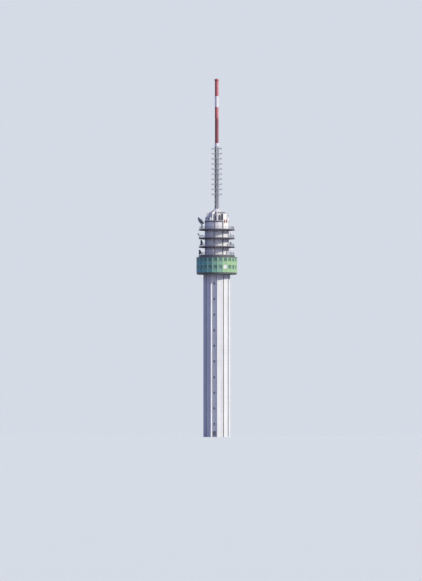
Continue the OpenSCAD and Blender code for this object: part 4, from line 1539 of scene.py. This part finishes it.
fit_ring("mast_gussets", build(fill_gussets), mast_steel, 4, 0, TIERS, TIER_PITCH)
fit_ring("mast_splices", build(fill_splice), mast_steel, 4, 0, SPLICES, 3 * TIER_PITCH)
fit_ring("mast_plan_bracing", build(fill_plan_brace), mast_steel, 1, 0, TIERS, TIER_PITCH)

# %% [markdown]
# ## Feeder cables
# Five flexible cables climb the ladder inside the mast, and each leaves it in a bend at its own tier.
# They are held along their whole run, so they are pipes along points and not loose cords.

# %% Fit the feeder cables
CABLE_R = 0.0045
CABLE_BEND = 0.03
BEND_STEPS = 6
# Place across the ladder, and the tier at which each cable leaves it
CABLES = ((-0.022, 11), (-0.011, 9), (0.0, 11), (0.011, 7), (0.022, 11))
cable_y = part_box("cable_ladder")[0].y - CABLE_R


def cable_path(x, tier):
    """Up the ladder and then in a bend to the middle of the mast."""
    bend_z = tier_z + tier * TIER_PITCH - CABLE_BEND
    path = [Vector((x, cable_y, mast_low + 0.0005)), Vector((x, cable_y, bend_z))]
    for i in range(1, BEND_STEPS + 1):
        t = math.pi / 2 * i / BEND_STEPS
        path.append(Vector((x, cable_y - CABLE_BEND * (1 - math.cos(t)), bend_z + CABLE_BEND * math.sin(t))))
    return path


cables = pipes([cable_path(*row) for row in CABLES], CABLE_R, grey_cable)
fit("mast_feeder_cables", cables, grey_cable)

# %% [markdown]
# ## Main transmission lines
# The antenna tube is fed by thick rigid lines, which climb inside the left face of the mast from its
# foot to its head. They hang in two rows from cross bars at every tier. From far away they make that
# edge of the lattice a dark line.

# %% Fit the transmission lines
# The x of each row, the places of its lines along the face, and their radius
LINE_ROWS = ((-0.061, (-0.042, -0.025, -0.008, 0.009, 0.026, 0.043), 0.0075),
             (-0.0405, (-0.036, -0.018, 0.0, 0.018, 0.036), 0.0078))
LINE_SIDES = 12
COUPLING_H = 0.008
LINE_BAR_T, LINE_BAR_H = 0.0045, 0.005
couplings = int((mast_high - mast_low) / TIER_PITCH)


def fill_lines(mesh):
    """The lines, each with a thicker coupling in every tier."""
    for x, places, radius in LINE_ROWS:
        for y in places:
            add_upright(mesh, x, -y, mast_low + 0.0005, mast_high - 0.0005, radius, LINE_SIDES)
            for i in range(couplings):
                z = mast_low + FIRST_TIER / 2 + i * TIER_PITCH
                add_upright(mesh, x, -y, z, z + COUPLING_H, radius + 0.0012, LINE_SIDES)


def fill_line_bar(mesh):
    """The cross bar between the two rows, from leg to leg."""
    x = LINE_ROWS[0][0] + 0.0078
    half = MAST_HALF - LEG_W + 0.0005
    add_block(mesh, (x, x + LINE_BAR_T), (-half, half), (tier_z + 0.010, tier_z + 0.010 + LINE_BAR_H))


fit("transmission_lines", build(fill_lines), black_cable)
fit_ring("transmission_line_bars", build(fill_line_bar), galvanised_steel, 1, 0, TIERS - 1, TIER_PITCH)

# %% [markdown]
# ## Antenna arms
# Each arm carries two upright rod antennas. The rods get insulators where they cross the arm, end caps,
# and the arm gets a clamp at the mast and a thin brace below it. They repeat on four sides and ten
# levels.

# %% Fit the arm fittings
BARE_TIERS = 2
ARM_REACH = 0.216
ROD_PITCH = 0.052
ROD_HALF = 0.036
ROD_SIDES = 10
CLAMP_HALF_W, CLAMP_HALF_H = 0.016, 0.012
# Radius and height of the insulator's outline, with its waist, and of the rod's end cap
INSULATOR = ((0, 0.0055), (0.0085, 0.0055), (0.0085, 0.009), (0.007, 0.0105), (0.0085, 0.012),
             (0.0085, 0.0155), (0, 0.0155))
ROD_CAP = ((0, ROD_HALF - 0.002), (0.0078, ROD_HALF - 0.002), (0.0078, ROD_HALF + 0.003),
           (0.004, ROD_HALF + 0.006), (0, ROD_HALF + 0.006))


def fill_arm_fittings(mesh):
    z = tier_z + BARE_TIERS * TIER_PITCH
    add_block(mesh, (-CLAMP_HALF_W, CLAMP_HALF_W), (MAST_HALF - 0.009, MAST_HALF + 0.003),
              (z - CLAMP_HALF_H, z + CLAMP_HALF_H), 0.001)
    add_rod(mesh, (0, -ARM_REACH + 0.065, z - 0.004), (0, -MAST_HALF + 0.006, z - 0.052), 0.0026, 6)
    for out in (ARM_REACH - 0.005, ARM_REACH - ROD_PITCH - 0.005):
        for up in (-1, 1):
            for profile in (INSULATOR, ROD_CAP):
                add_turned(mesh, [(r, up * h) for r, h in profile], ROD_SIDES, at_front(out, z))


fit_ring("antenna_arm_fittings", build(fill_arm_fittings), arm_steel, 4, 0, TIERS - BARE_TIERS, TIER_PITCH)

# %% [markdown]
# ## Antenna tube
# The lower, darker red length is a column of antenna panels between stiffening rings, and eight panels
# stand around it in every gap. Flanges with bolts join the plain lengths above it, and the lamp at the
# very top stands in a small guard.

# %% Fit the tube's panels, flanges and lamp guard
RIB_PITCH = 0.080
RIB_H = 0.014
RIBBED_R = 0.072
ANTENNA_PANELS = 8
TUBE_R = 0.080
FLANGE_R = 0.0865
FLANGE_SIDES, FLANGE_BOLTS = 48, 16
CAP_LAMP_H = 0.030
GUARD_FOOT_R, GUARD_R, GUARD_H = 0.040, 0.034, 0.0285

ribbed_low, ribbed_high = (v.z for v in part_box("ribbed_antenna"))
tube_joints = [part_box(name)[0].z for name in ("tube_red_lower", "tube_white", "tube_red_upper")]
cap_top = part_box("tube_cap")[1].z - CAP_LAMP_H


def fill_antenna_panel(mesh):
    """A flat panel with bevelled sides, in the gap above the lowest stiffening ring."""
    back, bevel, face = RIBBED_R - 0.005, RIBBED_R - 0.0005, RIBBED_R + 0.0035
    plan = [(-0.021, back), (-0.021, bevel), (-0.017, face), (0.017, face), (0.021, bevel), (0.021, back)]
    add_upwards(mesh, plan, ribbed_low + RIB_H + 0.004, ribbed_low + RIB_PITCH - 0.004)


def fill_flange(mesh, z):
    """Two flanges that meet at a height, with a fine groove between them."""
    add_turned(mesh, [(TUBE_R + CLEAR, z - 0.006), (FLANGE_R, z - 0.006), (FLANGE_R, z - 0.001),
                      (FLANGE_R - 0.001, z), (FLANGE_R, z + 0.001), (FLANGE_R, z + 0.006),
                      (TUBE_R + CLEAR, z + 0.006)], FLANGE_SIDES)


def fill_flange_bolt(mesh, z):
    add_upright(mesh, 0, TUBE_R + 0.0035, z - 0.009, z + 0.009, 0.0018, 6)


def fill_lamp_guard(mesh):
    for angle in range(45, 360, 90):
        foot = polar(GUARD_FOOT_R, angle, cap_top + CLEAR)
        add_rod(mesh, foot, polar(GUARD_R, angle, cap_top + GUARD_H), 0.002, 6)
    add_band(mesh, GUARD_R - 0.0015, GUARD_R + 0.0015, cap_top + 0.024, cap_top + 0.0275, 24)


rib_rows = int((ribbed_high - ribbed_low) / RIB_PITCH)
fit_ring("ribbed_antenna_panels", build(fill_antenna_panel), red_antenna,
         ANTENNA_PANELS, 0, rib_rows, RIB_PITCH)
flange_parts = []
for z in tube_joints:
    flange_parts += [build(fill_flange, z), ring_of(build(fill_flange_bolt, z), red_shell, FLANGE_BOLTS)]
fit("tube_flanges", join_meshes(flange_parts), red_shell)
fit("top_lamp_guard", build(fill_lamp_guard), galvanised_steel)

# %% [markdown]
# ## Big dish
# The CAD dish is the exact bowl, a cap of a ball. It gets a rolled rim, twelve ribs that follow the
# back of the bowl, a hub, and a feed horn on three struts near the focus, which for a ball lies half
# its radius in front of the bowl's deepest point. All of it is made around an upright axis first and
# then leaned into place by the same two turns as in the CAD model.

# %% Fit the big dish
DISH_R = 0.185
DISH_DEPTH = 0.096
DISH_ANGLE, DISH_AT = -77.0, 0.655
DISH_AIM, DISH_TILT, DISH_RISE = 108.0, 43.0, 0.383
DISH_RIBS, RIB_START, RIB_T, RIB_STEPS = 12, 0.040, 0.003, 8
STRUTS = 3
# Radius and height over the focus of the horn's outline
HORN = ((0, -0.004), (0.016, -0.004), (0.017, 0.002), (0.009, 0.022), (0.009, 0.046),
        (0.006, 0.050), (0, 0.050))

ball_r = (DISH_R ** 2 + DISH_DEPTH ** 2) / (2 * DISH_DEPTH)
ball_z = ball_r - DISH_DEPTH
bowl_back = ball_z - ball_r
focus = ball_z - ball_r / 2
dish_centre = polar(DISH_AT, DISH_ANGLE, floors[3] + DISH_RISE)
dish_place = (Matrix.Translation(dish_centre) @ turn(DISH_AIM)
              @ Matrix.Rotation(math.radians(90 - DISH_TILT), 4, "X"))


def on_bowl(radius, outside):
    """Distance and height of the bowl's outer face at a radius, moved out from it."""
    t = math.asin(radius / ball_r)
    r = ball_r + outside
    return r * math.sin(t), ball_z - r * math.cos(t)


def fill_dish_rib(mesh):
    """A rib that is deepest at the hub and follows the bowl on its inner edge."""
    radii = [RIB_START + (DISH_R - 0.006 - RIB_START) * i / RIB_STEPS for i in range(RIB_STEPS + 1)]
    profile = [on_bowl(r, -0.0005) for r in radii]
    profile += [on_bowl(r, 0.004 + 0.010 * (1 - i / RIB_STEPS)) for i, r in reversed(list(enumerate(radii)))]
    add_across(mesh, RIB_T, profile)


def fill_dish_rings(mesh):
    """The rolled rim and the hub."""
    rim_in, rim_out, wall = DISH_R - 0.009, DISH_R + 0.003, DISH_R - 0.001
    add_turned(mesh, [(rim_in, 0.0006), (rim_in, 0.005), (rim_out, 0.005), (DISH_R + 0.005, 0.001),
                      (rim_out, -0.006), (wall, -0.007), (wall, 0.0006)], 64)
    add_turned(mesh, [(0, bowl_back - 0.014), (0.030, bowl_back - 0.014), (0.046, bowl_back - 0.004),
                      (0.046, bowl_back + 0.006), (0, bowl_back - 0.001)], 32)


def fill_feed(mesh):
    """The horn, with its mouth towards the bowl, and its struts."""
    add_turned(mesh, [(r, focus + up) for r, up in HORN], 24)
    for i in range(STRUTS):
        angle = 60 + 360 / STRUTS * i
        add_rod(mesh, polar(DISH_R - 0.008, angle, 0.002), polar(0.008, angle, focus + 0.030), 0.0026)


dish_ribs = ring_of(build(fill_dish_rib), dish_grey, DISH_RIBS)
dish = join_meshes([dish_ribs, build(fill_dish_rings), build(fill_feed)])
dish.transform(dish_place)
fit("big_dish_ribs_and_feed", dish, dish_grey)

# %% [markdown]
# ## The big dish's yoke
# The dish leans on the post that the CAD model has. A clamp round the post's head holds two struts that
# run to the dish's hub, a third strut props its lower edge, and a sleeve and eight bolts hold the post
# to the deck.

# %% Fit the big dish's yoke
STAND_AT, STAND_R = 0.619, 0.024
CLAMP_LOW, CLAMP_TOP = 0.150, 0.172
FOOT_BOLTS, FOOT_BOLTS_R = 8, 0.037
STRUT_ASIDE = 0.030


def fill_yoke(mesh):
    upright = Matrix.Translation(polar(STAND_AT, DISH_ANGLE, floors[3]))
    seat = STAND_R + CLEAR
    add_band(mesh, seat, STAND_R + 0.008, CLAMP_LOW, CLAMP_TOP, 32, upright)
    add_turned(mesh, [(seat, 0.015), (STAND_R + 0.010, 0.0145), (STAND_R + 0.002, 0.040), (seat, 0.040)],
               32, upright)
    for i in range(FOOT_BOLTS):
        at = upright @ Matrix.Translation(polar(FOOT_BOLTS_R, 360 / FOOT_BOLTS * (i + 0.5)))
        add_disc(mesh, 0.004, 0.0142, 0.020, 6, at)
    back = dish_place @ Vector((0, 0, bowl_back - 0.010))
    for side in (-1, 1):
        aside = polar(STRUT_ASIDE * side, DISH_AIM + 90)
        add_rod(mesh, upright @ Vector((aside.x, aside.y, 0.160)), back + aside * 0.9, 0.005)
    low_edge = dish_place @ Vector((0, -0.06, bowl_back + 0.004))
    add_rod(mesh, upright @ Vector((0.02, 0.02, 0.165)), low_edge, 0.004)


fit("big_dish_yoke", build(fill_yoke), galvanised_steel)

# %% [markdown]
# ## Dishes and panel antenna on the platforms
# The CAD model holds each small dish as a plain drum on a pole. A real one is a shrouded dish: a bowl
# at the back, a straight shroud, and a stretched cover with a clamping band at the front, held on its
# pole by a bracket. They are made anew here in the same places and stand for the CAD solids. The first
# dishes in the list have dark grey covers and are one piece. On the three on the shaded left side, this
# dark cover is painted shade. The others, which have white ones, are another piece with the panel
# antenna that stands at the railing.

# %% Fit the platform dishes
POLE_R, POLE_SIDES = 0.009, 16
POLE_FOOT_R, POLE_FOOT_T = 0.020, 0.0035
BRACKET_HALF = 0.014
DISH_SIDES = 40
# Direction, distance inside the platform's edge, floor, height above it, diameter, depth and aim
DISHES = (
    (-77.0, 0.010, 2, 0.169, 0.076, 0.056, -77.0),
    (-77.0, 0.164, 1, 0.176, 0.230, 0.095, -77.0),
    (-77.0, 0.110, 0, 0.135, 0.200, 0.115, -77.0),
    (79.5, 0.162, 1, 0.134, 0.130, 0.060, 70.0),
    (73.0, 0.084, 0, 0.225, 0.126, 0.056, 50.0),
    (93.0, 0.104, 3, 0.082, 0.080, 0.050, 93.0),
    (83.0, 0.142, 2, 0.192, 0.112, 0.056, 60.0),
)
# The first dishes get dark covers, which on the shaded left side are painted shade
DARK_AND_SHADED_DISHES = 4
# The panel antenna's direction, distance inside the edge, rise above the deck, width, depth and height
PANEL_ANTENNA = (0.0, 0.052, 0.067, 0.034, 0.020, 0.200)
PANEL_STEPS = 12


def add_pole(mesh, place, head):
    """Adds a pole on a round foot plate. Its head is given as (radius, height) points."""
    add_turned(mesh, [(0, CLEAR), (POLE_FOOT_R, CLEAR), (POLE_FOOT_R, POLE_FOOT_T), (POLE_R, 0.0038),
                      *head, (0, head[-1][1])], POLE_SIDES, place)


def fill_platform_dish(mesh, direction, inset, level, height, diameter, depth, aimed):
    foot = polar(platform_r - inset, direction, floors[level])
    r = diameter / 2
    centre = foot + Vector((0, 0, height))
    look = Matrix.Translation(centre) @ turn(aimed) @ Matrix.Rotation(math.pi / 2, 4, "X")
    bowl = depth * 0.42
    back = POLE_R + 0.004
    profile = [(0, back), (r * 0.35, back + bowl * 0.10), (r * 0.7, back + bowl * 0.42),
               (r - 0.001, back + bowl), (r - 0.001, depth - 0.010), (r + 0.002, depth - 0.010),
               (r + 0.002, depth - 0.003), (r - 0.002, depth - 0.002), (r * 0.6, depth - 0.0005), (0, depth)]
    add_turned(mesh, profile, DISH_SIDES, look)
    square = (-BRACKET_HALF, BRACKET_HALF)
    add_block(mesh, square, square, (-0.012, back + 0.003), place=look)
    upright = Matrix.Translation(foot)
    top = height + 0.020
    add_pole(mesh, upright, [(POLE_R, top - 0.002), (POLE_R - 0.002, top)])
    add_rod(mesh, look @ Vector((0, -r * 0.75, back + bowl * 0.5)), upright @ Vector((0, 0, height * 0.35)),
            0.0025, 6)


def fill_panel_antenna(mesh):
    direction, inset, rise, width, depth, height = PANEL_ANTENNA
    foot = polar(platform_r - inset, direction, floors[0])
    bow = [math.pi * i / PANEL_STEPS for i in range(PANEL_STEPS + 1)]
    plan = [(foot.x - width / 2 * math.cos(t), 0.001 - foot.y + (depth - 0.001) * math.sin(t)) for t in bow]
    add_upwards(mesh, plan, floors[0] + rise, floors[0] + rise + height)
    upright = Matrix.Translation(foot)
    add_pole(mesh, upright, [(POLE_R, rise + height * 0.92)])
    for up in (0.2, 0.8):
        z = rise + height * up
        add_block(mesh, (-BRACKET_HALF, BRACKET_HALF), (-0.012, 0.012), (z - 0.005, z + 0.005), place=upright)


def fill_dishes(mesh, rows):
    for row in rows:
        fill_platform_dish(mesh, *row)


white_parts = [build(fill_dishes, DISHES[DARK_AND_SHADED_DISHES:]), build(fill_panel_antenna)]
antennas = fit("platform_dishes", join_meshes(white_parts), antenna_white)
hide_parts("platform_antennas")
fit("platform_dishes_dark_and_painted_shade", build(fill_dishes, DISHES[:DARK_AND_SHADED_DISHES]), dark_cover_and_painted_shade)

# %% [markdown]
# ## Studio
# A plain floor and an even pale surround keep attention on the tower. The photo's light is a low sun
# far round to the right, so the key lamp stands there and leaves the left side to the cool sky. The
# floor and the surround are pale only to camera, mirror and glass rays: what they throw back on the
# tower stays at a plain level. Their tone is a little below white, so that the white tower stands out.

# %% Light the studio
FLOOR_HALF = 260.0
KEY = {"direction": 78.0, "height": 32.0, "strength": 3.75, "colour": (1.0, 0.95, 0.82), "softness": 4.0}
SIDE = {"direction": 30.0, "height": 22.0, "strength": 0.70, "colour": (1.0, 0.95, 0.95), "softness": 50.0}
SKY = (0.13, 0.19, 0.50)
SURROUND = (0.66, 0.71, 0.79)
FLOOR_SEEN = (0.75, 0.785, 0.70)
FLOOR_BOUNCE = (0.15, 0.15, 0.16)


def seen_directly(tree):
    """1 for rays from the camera, a mirror or glass, and 0 for light that falls on surfaces."""
    rays = tree.nodes.new("ShaderNodeLightPath")
    camera_ray, glossy, clear = (Wire(tree, rays.outputs[name]) for name in
                                 ("Is Camera Ray", "Is Glossy Ray", "Is Transmission Ray"))
    total = camera_ray + glossy + clear
    return total.math("MINIMUM", total, 1.0)


def make_lamp(name, direction, height, strength, colour, softness):
    """A lamp far away in a direction, at a height in degrees, whose light comes from a soft disc."""
    lamp = bpy.data.objects.new(name, bpy.data.lights.new(name, "SUN"))
    lamp.data.energy = strength
    lamp.data.color = colour
    lamp.data.angle = math.radians(softness)
    away = polar(math.cos(math.radians(height)), direction, math.sin(math.radians(height)))
    lamp.rotation_euler = away.to_track_quat("Z", "Y").to_euler()
    bpy.context.scene.collection.objects.link(lamp)


world = bpy.data.worlds.new("surround")
world.use_nodes = True
bpy.context.scene.world = world
sky = next(n for n in world.node_tree.nodes if n.type == "BACKGROUND")
sky_wire = seen_directly(world.node_tree)
world.node_tree.links.new(blend(sky_wire, SKY, SURROUND).socket, sky.inputs["Color"])

floor_finish, floor_shader, _ = start_finish("studio_floor")
feed(floor_shader, "Base Color", blend(seen_directly(floor_finish.node_tree), FLOOR_BOUNCE, FLOOR_SEEN))
floor_shader.inputs["Roughness"].default_value = 1.0
floor_data = bpy.data.meshes.new("floor")
h = FLOOR_HALF
floor_data.from_pydata([(-h, -h, 0), (h, -h, 0), (h, h, 0), (-h, h, 0)], [], [(0, 1, 2, 3)])
floor_data.materials.append(floor_finish)
floor = bpy.data.objects.new("studio_floor", floor_data)
bpy.context.scene.collection.objects.link(floor)
make_lamp("key", **KEY)
make_lamp("side", **SIDE)
bpy.context.scene.view_settings.view_transform = "Standard"
print("Studio lit, floor", 2 * FLOOR_HALF, "m wide")

# %% [markdown]
# ## Count the pieces
# The last line prints how many pieces were fitted and how many faces they have.

# %% Count the pieces
print(len(fitted), "pieces fitted with", sum(len(p.data.polygons) for p in fitted), "faces")
